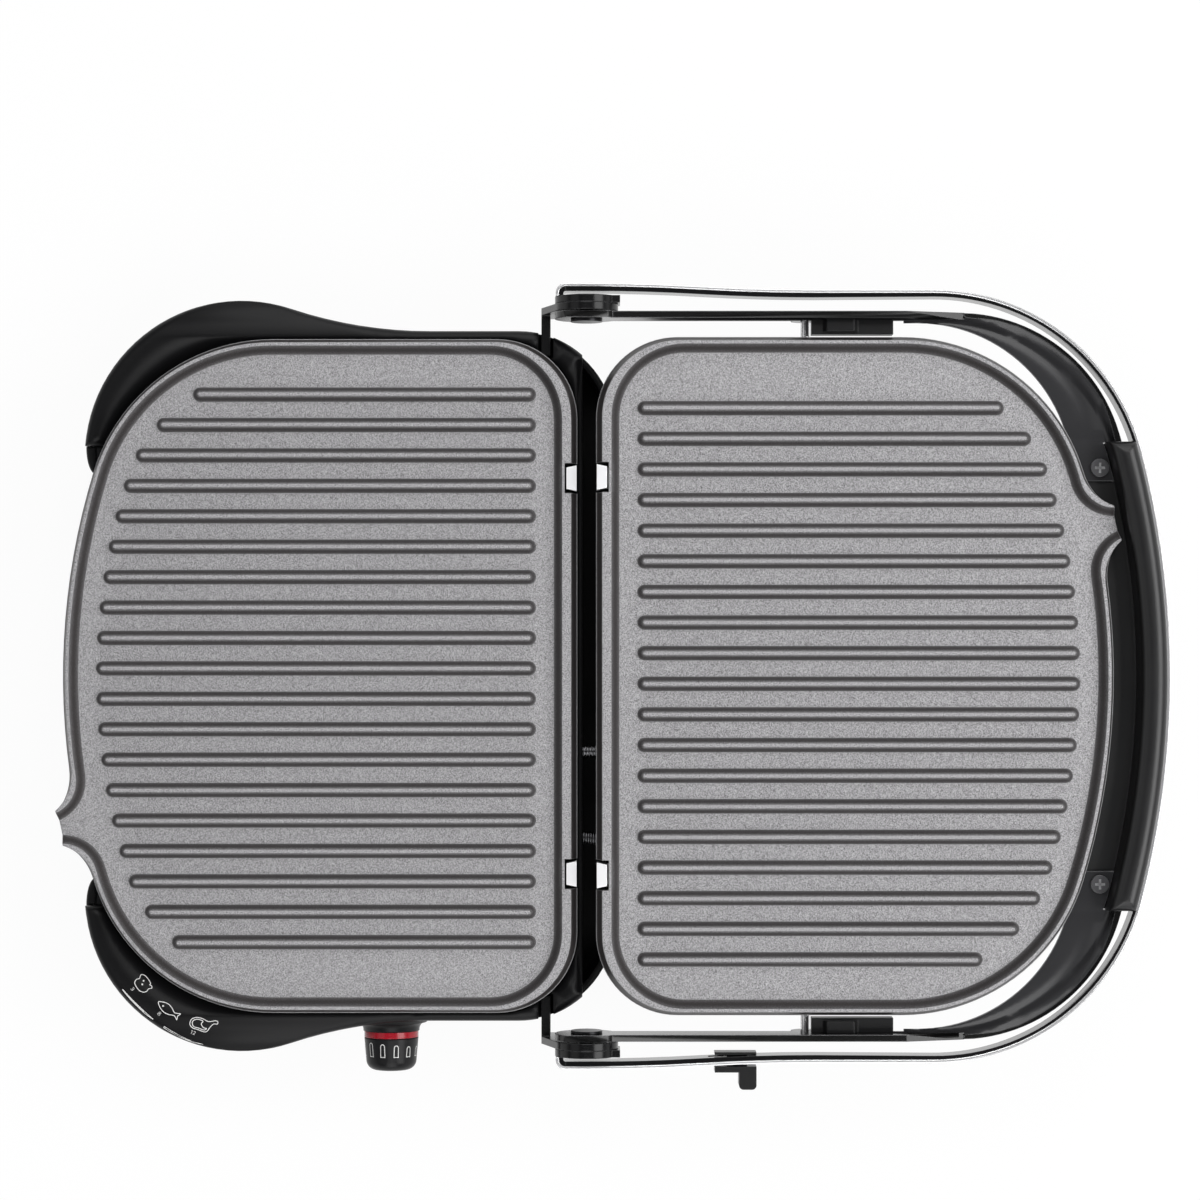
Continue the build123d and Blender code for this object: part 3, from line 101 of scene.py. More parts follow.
view = {
    "place": (-0.0138, -0.0048, 1.572),
    "platePlane": 0.072,      # height of the lower plate's rim, where the width is taken
    "widthSeen": 0.5334,
    "imageSize": 1200,
    "middleColumn": 600,
    "middleRow": 655,         # the row that lies straight under the camera
    "upShift": 0.046,
    "farEnd": 20,
    "sensorWidth": 36,
}


def makeCamera():
    data = bpy.data.cameras.new("topView")
    away = view["place"][2] - view["platePlane"]
    data.sensor_width = view["sensorWidth"]
    data.lens = view["sensorWidth"] * away / view["widthSeen"]
    data.shift_y = view["upShift"]
    data.clip_end = view["farEnd"]
    camera = bpy.data.objects.new("topView", data)
    bpy.context.scene.collection.objects.link(camera)
    camera.location = view["place"]
    camera.rotation_euler = (0, 0, math.radians(90))   # picture right is +Y, picture up is -X
    bpy.context.scene.camera = camera


def pixelPlace(column, row, height):
    # where a pixel of the picture lies at a height
    share = (view["place"][2] - height) / (view["place"][2] - view["platePlane"])
    scale = view["widthSeen"] / view["imageSize"] * share
    x = view["place"][0] + (row - view["middleRow"]) * scale
    y = view["place"][1] + (column - view["middleColumn"]) * scale
    return x, y


studio = {
    "floorSize": 6.0,
    "floorColour": (0.86, 0.86, 0.86, 1),
    "shadowShare": 0.06,
    "sky": (0.10, 0.10, 0.103, 1),
    "backdrop": (1, 1, 1, 1),
    "ceiling": (0.10, 0.10, 0.103, 1),   # what gloss and glass see above the white backdrop
    "backdropTop": 0.10,                 # sine of the height at which the backdrop starts to fade
    "ceilingStart": 0.45,
    "lamps": (
        # name, place, aimed at, width, depth, watts
        ("frontBox", (0.0, -1.35, 1.45), (0, 0, 0.05), 2.2, 1.1, 4),
        ("rearBox", (0.0, 1.35, 1.45), (0, 0, 0.05), 2.2, 1.1, 33),
        ("rightBox", (1.35, 0.0, 1.45), (0, 0, 0.05), 1.1, 2.0, 19),
        ("leftBox", (-1.35, 0.0, 1.45), (0, 0, 0.05), 1.1, 2.0, 19),
    ),
}


def seenRays(tree):
    # camera, mirror and glass rays show the white backdrop
    path = tree.nodes.new("ShaderNodeLightPath")
    total = path.outputs["Is Camera Ray"]
    for ray in ("Is Glossy Ray", "Is Transmission Ray"):
        total = mathNode(tree, "MAXIMUM", total, path.outputs[ray])
    return total


def pickShader(tree, share, lit, shown, out):
    pick = tree.nodes.new("ShaderNodeMixShader")
    link(tree, share, pick.inputs["Fac"])
    link(tree, lit.outputs[0], pick.inputs[1])
    link(tree, shown.outputs[0], pick.inputs[2])
    link(tree, pick.outputs[0], out.inputs["Surface"])


def makeWorld():
    world = bpy.data.worlds.new("studio")
    bpy.context.scene.world = world
    world.use_nodes = True
    tree = world.node_tree
    tree.nodes.clear()
    out = tree.nodes.new("ShaderNodeOutputWorld")
    soft = tree.nodes.new("ShaderNodeBackground")
    soft.inputs["Color"].default_value = studio["sky"]
    white = tree.nodes.new("ShaderNodeBackground")
    height = tree.nodes.new("ShaderNodeSeparateXYZ")
    link(tree, tree.nodes.new("ShaderNodeTexCoord").outputs["Generated"], height.inputs[0])
    fade = fadeNode(tree, height.outputs["Z"], studio["backdropTop"], studio["ceilingStart"])
    glossy = tree.nodes.new("ShaderNodeLightPath").outputs["Is Glossy Ray"]
    mirrored = mathNode(tree, "MULTIPLY", fade, glossy)
    shade = mixColour(tree, mirrored, studio["backdrop"], studio["ceiling"])
    link(tree, shade, white.inputs["Color"])
    pickShader(tree, seenRays(tree), soft, white, out)


def makeFloor():
    bpy.ops.mesh.primitive_plane_add(size=studio["floorSize"])
    floor = bpy.context.object
    floor.name = "studioFloor"
    material = bpy.data.materials.new("paleFloor")
    material.use_nodes = True
    tree = material.node_tree
    tree.nodes.clear()
    out = tree.nodes.new("ShaderNodeOutputMaterial")
    lit = tree.nodes.new("ShaderNodeBsdfDiffuse")
    lit.inputs["Color"].default_value = studio["floorColour"]
    white = tree.nodes.new("ShaderNodeEmission")
    share = mathNode(tree, "MULTIPLY", seenRays(tree), 1 - studio["shadowShare"])
    pickShader(tree, share, lit, white, out)
    floor.data.materials.append(material)


def makeLamps():
    for name, place, aim, width, depth, watts in studio["lamps"]:
        light = bpy.data.lights.new(name, "AREA")
        light.shape = "RECTANGLE"
        light.size = width
        light.size_y = depth
        light.energy = watts
        lamp = bpy.data.objects.new(name, light)
        bpy.context.scene.collection.objects.link(lamp)
        lamp.location = place
        lamp.rotation_mode = "QUATERNION"
        lamp.rotation_quaternion = (Vector(aim) - Vector(place)).to_track_quat("-Z", "Y")


bpy.context.scene.view_settings.view_transform = "Standard"
makeCamera()
makeWorld()
makeFloor()
makeLamps()
print("camera and studio made")


# surface effects, each one a group with named sockets

number = "NodeSocketFloat"
raySamples = 6                # for each bevel and hollow


def newGroup(name, inputs, outputs):
    group = bpy.data.node_groups.new(name, "ShaderNodeTree")
    for label, kind, value in inputs:
        socket = group.interface.new_socket(name=label, in_out="INPUT", socket_type=kind)
        socket.default_value = value
    for label in outputs:
        group.interface.new_socket(name=label, in_out="OUTPUT", socket_type=number)
    start = group.nodes.new("NodeGroupInput")
    end = group.nodes.new("NodeGroupOutput")
    return group, start, end


def objectPlace(tree):
    return tree.nodes.new("ShaderNodeTexCoord").outputs["Object"]


def noiseNode(tree, place, scale, detail=2.0, rough=0.5):
    node = tree.nodes.new("ShaderNodeTexNoise")
    link(tree, place, node.inputs["Vector"])
    fill(tree, node.inputs["Scale"], scale)
    node.inputs["Detail"].default_value = detail
    node.inputs["Roughness"].default_value = rough
    return node.outputs["Fac"]


def makeEdgeWearAndHighlight():
    # worn edges, and painted highlights on edges and crests: bright where the surface turns
    # sharply, broken up by fine noise
    group, start, end = newGroup(
        "edgeWearAndHighlight",
        (("Radius", number, 0.0006), ("Strength", number, 4.0), ("Breakup", number, 0.5)),
        ("Mask",),
    )
    bevel = group.nodes.new("ShaderNodeBevel")
    bevel.samples = raySamples
    link(group, start.outputs["Radius"], bevel.inputs["Radius"])
    geometry = group.nodes.new("ShaderNodeNewGeometry")
    dot = group.nodes.new("ShaderNodeVectorMath")
    dot.operation = "DOT_PRODUCT"
    link(group, bevel.outputs[0], dot.inputs[0])
    link(group, geometry.outputs["Normal"], dot.inputs[1])
    turned = mathNode(group, "SUBTRACT", 1.0, dot.outputs["Value"])
    strong = mathNode(group, "MULTIPLY", turned, start.outputs["Strength"], clamp=True)
    fine = noiseNode(group, objectPlace(group), scale=900.0, detail=3.0)
    broken = mathNode(group, "MULTIPLY", fine, start.outputs["Breakup"])
    link(group, mathNode(group, "SUBTRACT", strong, broken, clamp=True), end.inputs["Mask"])
    return group


def makeCreviceShade():
    # painted shade mask: high where a surface is closed in by its neighbours, as in the foot of a
    # rib
    group, start, end = newGroup(
        "creviceShade", (("Reach", number, 0.004), ("Strength", number, 1.0)), ("Mask",)
    )
    hollow = group.nodes.new("ShaderNodeAmbientOcclusion")
    hollow.samples = raySamples
    link(group, start.outputs["Reach"], hollow.inputs["Distance"])
    closed = mathNode(group, "SUBTRACT", 1.0, hollow.outputs["AO"])
    mask = mathNode(group, "MULTIPLY", closed, start.outputs["Strength"], clamp=True)
    link(group, mask, end.inputs["Mask"])
    return group


def makeFlankShade():
    # painted shade: a mask that darkens steep flanks against level ground, as if the lamps lit them
    # less
    group, start, end = newGroup(
        "flankShade",
        (("Radius", number, 0.0013), ("Level", number, 0.985), ("Steep", number, 0.60)),
        ("Mask",),
    )
    bevel = group.nodes.new("ShaderNodeBevel")
    bevel.samples = raySamples
    link(group, start.outputs["Radius"], bevel.inputs["Radius"])
    local = group.nodes.new("ShaderNodeVectorTransform")
    local.vector_type = "NORMAL"
    local.convert_from = "WORLD"
    local.convert_to = "OBJECT"
    link(group, bevel.outputs[0], local.inputs[0])
    turn = group.nodes.new("ShaderNodeSeparateXYZ")
    link(group, local.outputs[0], turn.inputs[0])
    upward = mathNode(group, "ABSOLUTE", turn.outputs["Z"])
    steep, level = start.outputs["Steep"], start.outputs["Level"]
    link(group, fadeNode(group, upward, steep, level, 1.0, 0.0), end.inputs["Mask"])
    return group


def makeSpeckle():
    # stone-like fleck of a sprayed non-stick coat
    group, start, end = newGroup(
        "coatSpeckle",
        (("Grain", number, 900.0), ("Contrast", number, 1.0)),
        ("Tone", "Height"),
    )
    place = objectPlace(group)
    coarse = noiseNode(group, place, start.outputs["Grain"], detail=3.0, rough=0.7)
    finer = mathNode(group, "MULTIPLY", start.outputs["Grain"], 2.7)
    fine = noiseNode(group, place, finer, detail=2.0, rough=0.6)
    both = mathNode(group, "ADD", coarse, fine)
    centred = mathNode(group, "SUBTRACT", both, 1.0)
    tone = mathNode(group, "MULTIPLY", centred, start.outputs["Contrast"])
    link(group, tone, end.inputs["Tone"])
    link(group, coarse, end.inputs["Height"])
    return group


def makeMouldGrain():
    # fine spark-eroded grain of moulded plastic, with a slow change in gloss
    group, start, end = newGroup(
        "mouldGrain",
        (("Grain", number, 1600.0), ("Gloss Change", number, 0.06)),
        ("Height", "Gloss"),
    )
    place = objectPlace(group)
    grain = noiseNode(group, place, start.outputs["Grain"], detail=2.0, rough=0.6)
    link(group, grain, end.inputs["Height"])
    slow = noiseNode(group, place, scale=14.0, detail=3.0, rough=0.6)
    centred = mathNode(group, "SUBTRACT", slow, 0.5)
    change = mathNode(group, "MULTIPLY", centred, start.outputs["Gloss Change"])
    link(group, change, end.inputs["Gloss"])
    return group


def makeHandling():
    # soft marks left by hands and cloths
    group, start, end = newGroup(
        "handlingMarks",
        (("Size", number, 38.0), ("Amount", number, 0.08)),
        ("Gloss", "Tone"),
    )
    broad = noiseNode(group, objectPlace(group), start.outputs["Size"], detail=5.0, rough=0.65)
    centred = mathNode(group, "SUBTRACT", broad, 0.5)
    gloss = mathNode(group, "MULTIPLY", centred, start.outputs["Amount"])
    link(group, gloss, end.inputs["Gloss"])
    link(group, mathNode(group, "MULTIPLY", gloss, 0.5), end.inputs["Tone"])
    return group


def makeDrawnLines():
    # drawn lines along one direction of rolled or polished metal
    group, start, end = newGroup(
        "drawnLines",
        (("Along", "NodeSocketVector", (60.0, 60.0, 4000.0)), ("Depth", number, 1.0)),
        ("Height",),
    )
    scaled = group.nodes.new("ShaderNodeVectorMath")
    scaled.operation = "MULTIPLY"
    link(group, objectPlace(group), scaled.inputs[0])
    link(group, start.outputs["Along"], scaled.inputs[1])
    lines = noiseNode(group, scaled.outputs[0], scale=1.0, detail=3.0, rough=0.6)
    link(group, mathNode(group, "MULTIPLY", lines, start.outputs["Depth"]), end.inputs["Height"])
    return group


effects = {
    "edgeWearAndHighlight": makeEdgeWearAndHighlight(),
    "creviceShade": makeCreviceShade(),
    "flankShade": makeFlankShade(),
    "coatSpeckle": makeSpeckle(),
    "mouldGrain": makeMouldGrain(),
    "handlingMarks": makeHandling(),
    "drawnLines": makeDrawnLines(),
}
print("surface effects made:", len(effects))


def newMaterial(name, settings):
    material = bpy.data.materials.new(name)
    material.use_nodes = True
    tree = material.node_tree
    shader = tree.nodes["Principled BSDF"]
    for label, value in settings.items():
        shader.inputs[label].default_value = value
    return material, tree, shader


def effect(tree, name, **values):
    node = tree.nodes.new("ShaderNodeGroup")
    node.node_tree = effects[name]
    for label, value in values.items():
        node.inputs[label.replace("_", " ")].default_value = value
    return node


def roundEdges(tree, shader, radius, height, strength=0.2, distance=0.0001):
    # a real moulding or pressing has no knife edges
    bevel = tree.nodes.new("ShaderNodeBevel")
    bevel.samples = raySamples
    bevel.inputs["Radius"].default_value = radius
    bump = tree.nodes.new("ShaderNodeBump")
    bump.inputs["Strength"].default_value = strength
    bump.inputs["Distance"].default_value = distance
    link(tree, height, bump.inputs["Height"])
    link(tree, bevel.outputs[0], bump.inputs["Normal"])
    link(tree, bump.outputs[0], shader.inputs["Normal"])


def roughness(tree, shader, base, *changes):
    total = base
    for change in changes:
        total = mathNode(tree, "ADD", change, total)
    link(tree, total, shader.inputs["Roughness"])


def paint(tree, shader, base, edge, mask, tone=None, toneShare=1.0, hollow=None, dark=None):
    # base colour, moved a little by a tone, mixed toward a second colour where the hollow mask says
    # and paler where the mask says; these masks carry painted shade and painted highlights as well
    # as wear
    surface = base
    if tone is not None:
        factor = mathNode(tree, "MULTIPLY_ADD", tone, toneShare, 1.0)
        surface = mixColour(tree, 1.0, base, factor, "MULTIPLY")
    if hollow is not None:
        surface = mixColour(tree, hollow, surface, dark)
    link(tree, mixColour(tree, mask, surface, edge), shader.inputs["Base Color"])


plateLook = {
    "base": (0.315, 0.311, 0.319, 1),
    # edge: a painted highlight on the rims and rib crests; hollow: painted shade on the flanks, the
    # rim's slopes and the rib feet
    "edge": (0.58, 0.58, 0.59, 1),
    "hollow": (0.040, 0.036, 0.036, 1),
    "rough": 0.42,
    "metal": 0.15,
    "specular": 0.2,
    "edgeRadius": 0.0006,
    "flankShare": 0.58,       # painted shade: how dark a steep flank is near its edges
    "middleShare": 0.42,      # how much darker it is in its middle
    "grainBump": 0.35,
    "grainDepth": 0.00012,
}


def plateCoating():
    look = plateLook
    material, tree, shader = newMaterial(
        "plateCoating", {"Specular IOR Level": look["specular"], "Metallic": look["metal"]}
    )
    fleck = effect(tree, "coatSpeckle", Grain=1900.0, Contrast=3.2)
    # painted highlights on the rims and rib crests
    wearAndHighlight = effect(tree, "edgeWearAndHighlight", Radius=look["edgeRadius"], Strength=2.4, Breakup=0.10)
    shade = effect(tree, "creviceShade", Reach=0.0015, Strength=0.2)
    flank = effect(tree, "flankShade", Radius=0.0008, Level=0.985, Steep=0.80)
    broad = effect(tree, "flankShade", Radius=0.0045, Level=0.93, Steep=0.52)
    marks = effect(tree, "handlingMarks", Size=22.0, Amount=0.10)
    # painted shade: the flank and crevice masks darken the coat toward the hollow colour
    share = mathNode(tree, "MULTIPLY_ADD", broad.outputs["Mask"],
                     look["middleShare"], look["flankShare"])
    steep = mathNode(tree, "MULTIPLY", flank.outputs["Mask"], share)
    dark = mathNode(tree, "MAXIMUM", shade.outputs["Mask"], steep)
    paint(tree, shader, look["base"], look["edge"], wearAndHighlight.outputs["Mask"],
          fleck.outputs["Tone"], 1.0, dark, look["hollow"])
    roughness(tree, shader, look["rough"], marks.outputs["Gloss"])
    roundEdges(tree, shader, look["edgeRadius"], fleck.outputs["Height"],
               look["grainBump"], look["grainDepth"])
    return material


plastics = {
    "housingPlastic": {"base": (0.0050, 0.0050, 0.0055, 1), "rough": 0.34, "grain": 1500.0,
                       "radius": 0.0024, "gloss": 0.17},
    "handlePlastic": {"base": (0.0050, 0.0050, 0.0055, 1), "rough": 0.30, "grain": 1300.0,
                      "radius": 0.0007, "gloss": 0.35},
    "gripPlastic": {"base": (0.0050, 0.0050, 0.0055, 1), "rough": 0.33, "grain": 1300.0,
                    "radius": 0.0015, "gloss": 0.5},
    "linerPlastic": {"base": (0.0045, 0.0045, 0.0050, 1), "rough": 0.12, "grain": 1300.0,
                     "radius": 0.0004, "gloss": 0.5},
    "knobPlastic": {"base": (0.0075, 0.0075, 0.0082, 1), "rough": 0.34, "grain": 1500.0,
                    "radius": 0.0008, "gloss": 0.20},
}
edgeLift = {"times": 2.2, "plus": 0.008}   # how much paler a black plastic's edges are


def blackPlastic(name, base, rough, grain, radius, gloss):
    paler = [min(1.0, part * edgeLift["times"] + edgeLift["plus"]) for part in base[:3]]
    material, tree, shader = newMaterial(name, {"Specular IOR Level": gloss})
    mould = effect(tree, "mouldGrain", Grain=grain, Gloss_Change=0.08)
    marks = effect(tree, "handlingMarks", Size=30.0, Amount=0.10)
    wearAndHighlight = effect(tree, "edgeWearAndHighlight", Radius=radius, Strength=1.2, Breakup=0.3)
    paint(tree, shader, base, (*paler, 1), wearAndHighlight.outputs["Mask"], marks.outputs["Tone"], 2.0)
    roughness(tree, shader, rough, mould.outputs["Gloss"], marks.outputs["Gloss"])
    roundEdges(tree, shader, radius, mould.outputs["Height"], strength=0.16, distance=0.00006)
    return material


def redPlastic():
    material, tree, shader = newMaterial("redRing", {"Specular IOR Level": 0.4, "Coat Weight": 0.1})
    mould = effect(tree, "mouldGrain", Grain=900.0, Gloss_Change=0.06)
    wearAndHighlight = effect(tree, "edgeWearAndHighlight", Radius=0.0005, Strength=1.0, Breakup=0.3)
    base, edge = (0.33, 0.004, 0.014, 1), (0.50, 0.04, 0.06, 1)
    paint(tree, shader, base, edge, wearAndHighlight.outputs["Mask"])
    roughness(tree, shader, 0.22, mould.outputs["Gloss"])
    roundEdges(tree, shader, 0.0004, mould.outputs["Height"], strength=0.05)
    return material


steels = {
    "paintedSteel": {"base": (0.004, 0.004, 0.0044, 1), "edge": (0.20, 0.20, 0.21, 1),
                     "gloss": 0.30, "wearAndHighlightStrength": 1.0},
    # the arms' pale edges are worn paint and also a painted highlight along the flanges and the tab
    "armSteel": {"base": (0.030, 0.030, 0.032, 1), "edge": (0.30, 0.30, 0.31, 1),
                 "gloss": 0.45, "wearAndHighlightStrength": 3.0,
                 "darkAbove": 0.0764},   # the flange's top is black
}


def blackSteel(name, base, edge, gloss, wearAndHighlightStrength, darkAbove=None):
    material, tree, shader = newMaterial(name, {"Specular IOR Level": gloss})
    mould = effect(tree, "mouldGrain", Grain=1100.0, Gloss_Change=0.08)
    marks = effect(tree, "handlingMarks", Size=34.0, Amount=0.10)
    wearAndHighlight = effect(tree, "edgeWearAndHighlight", Radius=0.0007, Strength=wearAndHighlightStrength, Breakup=0.25)
    hollow = None
    if darkAbove is not None:
        height = tree.nodes.new("ShaderNodeSeparateXYZ")
        link(tree, objectPlace(tree), height.inputs[0])
        hollow = mathNode(tree, "GREATER_THAN", height.outputs["Z"], darkAbove)
    black = (0.002, 0.002, 0.002, 1)
    paint(tree, shader, base, edge, wearAndHighlight.outputs["Mask"], marks.outputs["Tone"], 2.0, hollow, black)
    roughness(tree, shader, 0.20, mould.outputs["Gloss"], marks.outputs["Gloss"])
    roundEdges(tree, shader, 0.0006, mould.outputs["Height"], strength=0.18, distance=0.00006)
    return material


metals = {
    # along: how many drawn lines there are to a metre, in each direction
    # the band's near-white edge colour, laid on with great strength, is a painted highlight along
    # its top edges
    "bandChrome": {"base": (0.74, 0.74, 0.75, 1), "rough": 0.16, "along": (60.0, 60.0, 3500.0),
                   "depth": 0.8, "radius": 0.0008, "metal": 0.7, "edge": (0.98, 0.98, 0.98, 1),
                   "wearAndHighlightStrength": 9.0},
    "polishedSteel": {"base": (0.82, 0.82, 0.83, 1), "rough": 0.22,
                      "along": (400.0, 400.0, 400.0), "depth": 0.4},
    "lugSteel": {"base": (0.93, 0.93, 0.94, 1), "rough": 0.30, "along": (400.0, 400.0, 400.0),
                 "depth": 0.4, "metal": 0.35},
    # the screws' pale edge and crevice colours are painted highlights on their rims and in their
    # cross
    "platedSteel": {"base": (0.10, 0.10, 0.105, 1), "rough": 0.32, "along": (900.0, 900.0, 900.0),
                    "depth": 0.7, "radius": 0.0003, "metal": 0.6, "edge": (0.55, 0.55, 0.56, 1),
                    "wearAndHighlightStrength": 3.0, "paintedCreviceColour": (0.62, 0.62, 0.63, 1)},
    "rivetSteel": {"base": (0.035, 0.035, 0.037, 1), "rough": 0.30,
                   "along": (700.0, 700.0, 700.0), "depth": 0.5},
    # the spring's black crevice colour is painted shade between its turns
    "springWire": {"base": (0.20, 0.20, 0.21, 1), "rough": 0.26, "along": (900.0, 900.0, 900.0),
                   "depth": 0.6, "radius": 0.0002, "paintedCreviceColour": (0.002, 0.002, 0.002, 1)},
    "elementSheath": {"base": (0.23, 0.21, 0.20, 1), "rough": 0.45,
                      "along": (900.0, 900.0, 900.0), "depth": 1.0},
    "reflectorSheet": {"base": (0.70, 0.70, 0.70, 1), "rough": 0.28,
                       "along": (50.0, 2500.0, 50.0), "depth": 0.6},
}


def brightMetal(name, base, rough, along, depth, radius=0.0004, metal=1.0, edge=None,
                wearAndHighlightStrength=1.5, paintedCreviceColour=None):
    material, tree, shader = newMaterial(name, {"Metallic": metal})
    lines = effect(tree, "drawnLines", Depth=depth, Along=along)
    marks = effect(tree, "handlingMarks", Size=40.0, Amount=0.08)
    wearAndHighlight = effect(tree, "edgeWearAndHighlight", Radius=radius, Strength=wearAndHighlightStrength, Breakup=0.2)
    edge = edge or (*(min(1.0, part * 1.15) for part in base[:3]), 1)
    hollow = None
    # painted light in hollows, through the crevice shade mask
    if paintedCreviceColour:
        hollow = effect(tree, "creviceShade", Reach=0.0012, Strength=1.6).outputs["Mask"]
    paint(tree, shader, base, edge, wearAndHighlight.outputs["Mask"], marks.outputs["Tone"], 1.0,
          hollow, paintedCreviceColour)
    roughness(tree, shader, rough, marks.outputs["Gloss"])
    roundEdges(tree, shader, radius, lines.outputs["Height"], strength=0.08, distance=0.00004)
    return material


def footRubber():
    material, tree, shader = newMaterial("footRubber", {"Specular IOR Level": 0.3})
    mould = effect(tree, "mouldGrain", Grain=700.0, Gloss_Change=0.1)
    wearAndHighlight = effect(tree, "edgeWearAndHighlight", Radius=0.0006, Strength=1.0, Breakup=0.4)
    base, edge = (0.018, 0.018, 0.018, 1), (0.06, 0.06, 0.06, 1)
    paint(tree, shader, base, edge, wearAndHighlight.outputs["Mask"])
    roughness(tree, shader, 0.75, mould.outputs["Gloss"])
    roundEdges(tree, shader, 0.0005, mould.outputs["Height"], strength=0.3)
    return material


def whitePrint():
    # pad-printed ink, a little worn
    material, tree, shader = newMaterial("whitePrint", {"Specular IOR Level": 0.2})
    mould = effect(tree, "mouldGrain", Grain=1500.0, Gloss_Change=0.1)
    marks = effect(tree, "handlingMarks", Size=400.0, Amount=0.30)
    base, worn = (0.72, 0.72, 0.71, 1), (0.5, 0.5, 0.5, 1)
    paint(tree, shader, base, worn, marks.outputs["Tone"], marks.outputs["Tone"], 1.2)
    roughness(tree, shader, 0.5, mould.outputs["Gloss"])
    roundEdges(tree, shader, 0.00005, mould.outputs["Height"], strength=0.1)
    return material


finishes = {
    "plateCoating": plateCoating(),
    "redRing": redPlastic(),
    "footRubber": footRubber(),
    "whitePrint": whitePrint(),
}
for make, looks in ((blackPlastic, plastics), (blackSteel, steels), (brightMetal, metals)):
    for name, look in looks.items():
        finishes[name] = make(name, **look)

slotFinish = {
    "plate_coating": "plateCoating",
    "housing_plastic": "housingPlastic",
    "handle_plastic": "handlePlastic",
    "knob_plastic": "knobPlastic",
    "red_plastic": "redRing",
    "black_steel": "paintedSteel",
    "bright_band": "bandChrome",
    "polished_steel": "polishedSteel",
    "plated_steel": "platedSteel",
    "element_steel": "elementSheath",
    "reflector_metal": "reflectorSheet",
    "foot_rubber": "footRubber",
}
ownFinish = {   # nodes that look different from the rest of their slot
    "pivot_rivets": "rivetSteel",
    "handle_grip": "gripPlastic",
    "lower_plate_lugs": "lugSteel",
    "upper_plate_lugs": "lugSteel",
}

slotOf = {}
for part in frame["record"]["subparts"]:
    node = part["node"]
    slotOf[node] = part["material_slot"]
    mesh = nodes[node].data
    mesh.materials.clear()
    mesh.materials.append(finishes[ownFinish.get(node, slotFinish[slotOf[node]])])
print("materials given to", len(slotOf), "nodes")


creaseAngle = 28              # a sharper fold shades as an edge


def newPiece(name, build, finish):
    mesh = bpy.data.meshes.new(name)
    build.to_mesh(mesh)
    build.free()
    for face in mesh.polygons:
        face.use_smooth = True
    mesh.materials.append(finishes[finish])
    piece = bpy.data.objects.new(name, mesh)
    bpy.context.scene.collection.objects.link(piece)
    return piece


def corners(node):
    return [Vector(corner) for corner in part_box(node)]


def surfaceOf(node):
    # a search tree over a node's mesh
    mesh = nodes[node].data
    points = [point.co.copy() for point in mesh.vertices]
    return BVHTree.FromPolygons(points, [list(face.vertices) for face in mesh.polygons])


def sharpen(piece):
    piece.data.set_sharp_from_angle(angle=math.radians(creaseAngle))


def joinRings(build, rings):
    # faces between neighbouring rings, and one across each end
    for first, second in zip(rings, rings[1:]):
        for corner in range(len(first)):
            after = (corner + 1) % len(first)
            build.faces.new((first[corner], first[after], second[after], second[corner]))
    build.faces.new(rings[0])
    build.faces.new(reversed(rings[-1]))
    bmesh.ops.recalc_face_normals(build, faces=build.faces)


# the arms and the band's liner: copies of the solids with slimmer top edges

slimming = {
    "mergeWithin": 0.000002,
    "flangeTop": 0.0765,
    "topWithin": 0.00005,     # how near the flange's top a corner counts as part of it
    "slopeRange": (0.05, 0.97),   # upward share of the faces that count as the fillet
    "armEdge": 0.0017,        # how far the top of an arm's flange draws back
    "fullSlope": 0.5,         # the slope's upward share at which it draws back all the way
    "linerDepth": 0.0020,
    "linerEdge": 0.0009,
    "slimFrom": 0.115,        # the liner keeps its full width behind this
    "slimWhole": 0.190,
    "turnRadius": 0.0044,     # outside of the band's turned-in end
    "bandThickness": 0.0014,
    "turnRun": 0.0010,
    "turnSteps": 14,
    "linerTop": 0.0835,
    "linerBottom": 0.0715,
}


def copyOf(node):
    build = bmesh.new()
    build.from_mesh(nodes[node].data)
    bmesh.ops.remove_doubles(build, verts=build.verts, dist=slimming["mergeWithin"])
    bmesh.ops.recalc_face_normals(build, faces=build.faces)
    return build


def placeCopy(build, node, name, finish, body="handle"):
    piece = newPiece(name, build, finish)
    sharpen(piece)
    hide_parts(node)
    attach(piece, body)


def slimArm(node, name):
    build = copyOf(node)
    steepest, flattest = slimming["slopeRange"]
    moves = []
    for point in build.verts:
        if abs(point.co.z - slimming["flangeTop"]) > slimming["topWithin"]:
            continue
        normals = [face.normal for face in point.link_faces]
        slopes = [normal for normal in normals if steepest < normal.z < flattest]
        if not slopes:
            continue
        slope = sum(slopes, Vector()).normalized()
        inward = Vector((slope.x, slope.y, 0)).normalized()
        share = min(1.0, slope.z / slimming["fullSlope"])
        moves.append((point, inward * -slimming["armEdge"] * share))
    for point, move in moves:
        point.co += move
    placeCopy(build, node, name, "armSteel")


def slimLiner(node, name):
    band = surfaceOf("handle_band")
    build = copyOf(node)
    halfway = (slimming["linerTop"] + slimming["linerBottom"]) / 2
    slimFrom, slimWhole = slimming["slimFrom"], slimming["slimWhole"]
    for point in build.verts:
        level = Vector((point.co.x, point.co.y, halfway))
        near, _, _, distance = band.find_nearest(level)
        if distance and distance > slimming["linerDepth"] / 2:
            step = near - level
            step.z = 0
            share = (point.co.y - slimFrom) / (slimWhole - slimFrom)
            point.co += step.normalized() * slimming["linerEdge"] * max(0.0, min(1.0, share))
    placeCopy(build, node, name, "linerPlastic")


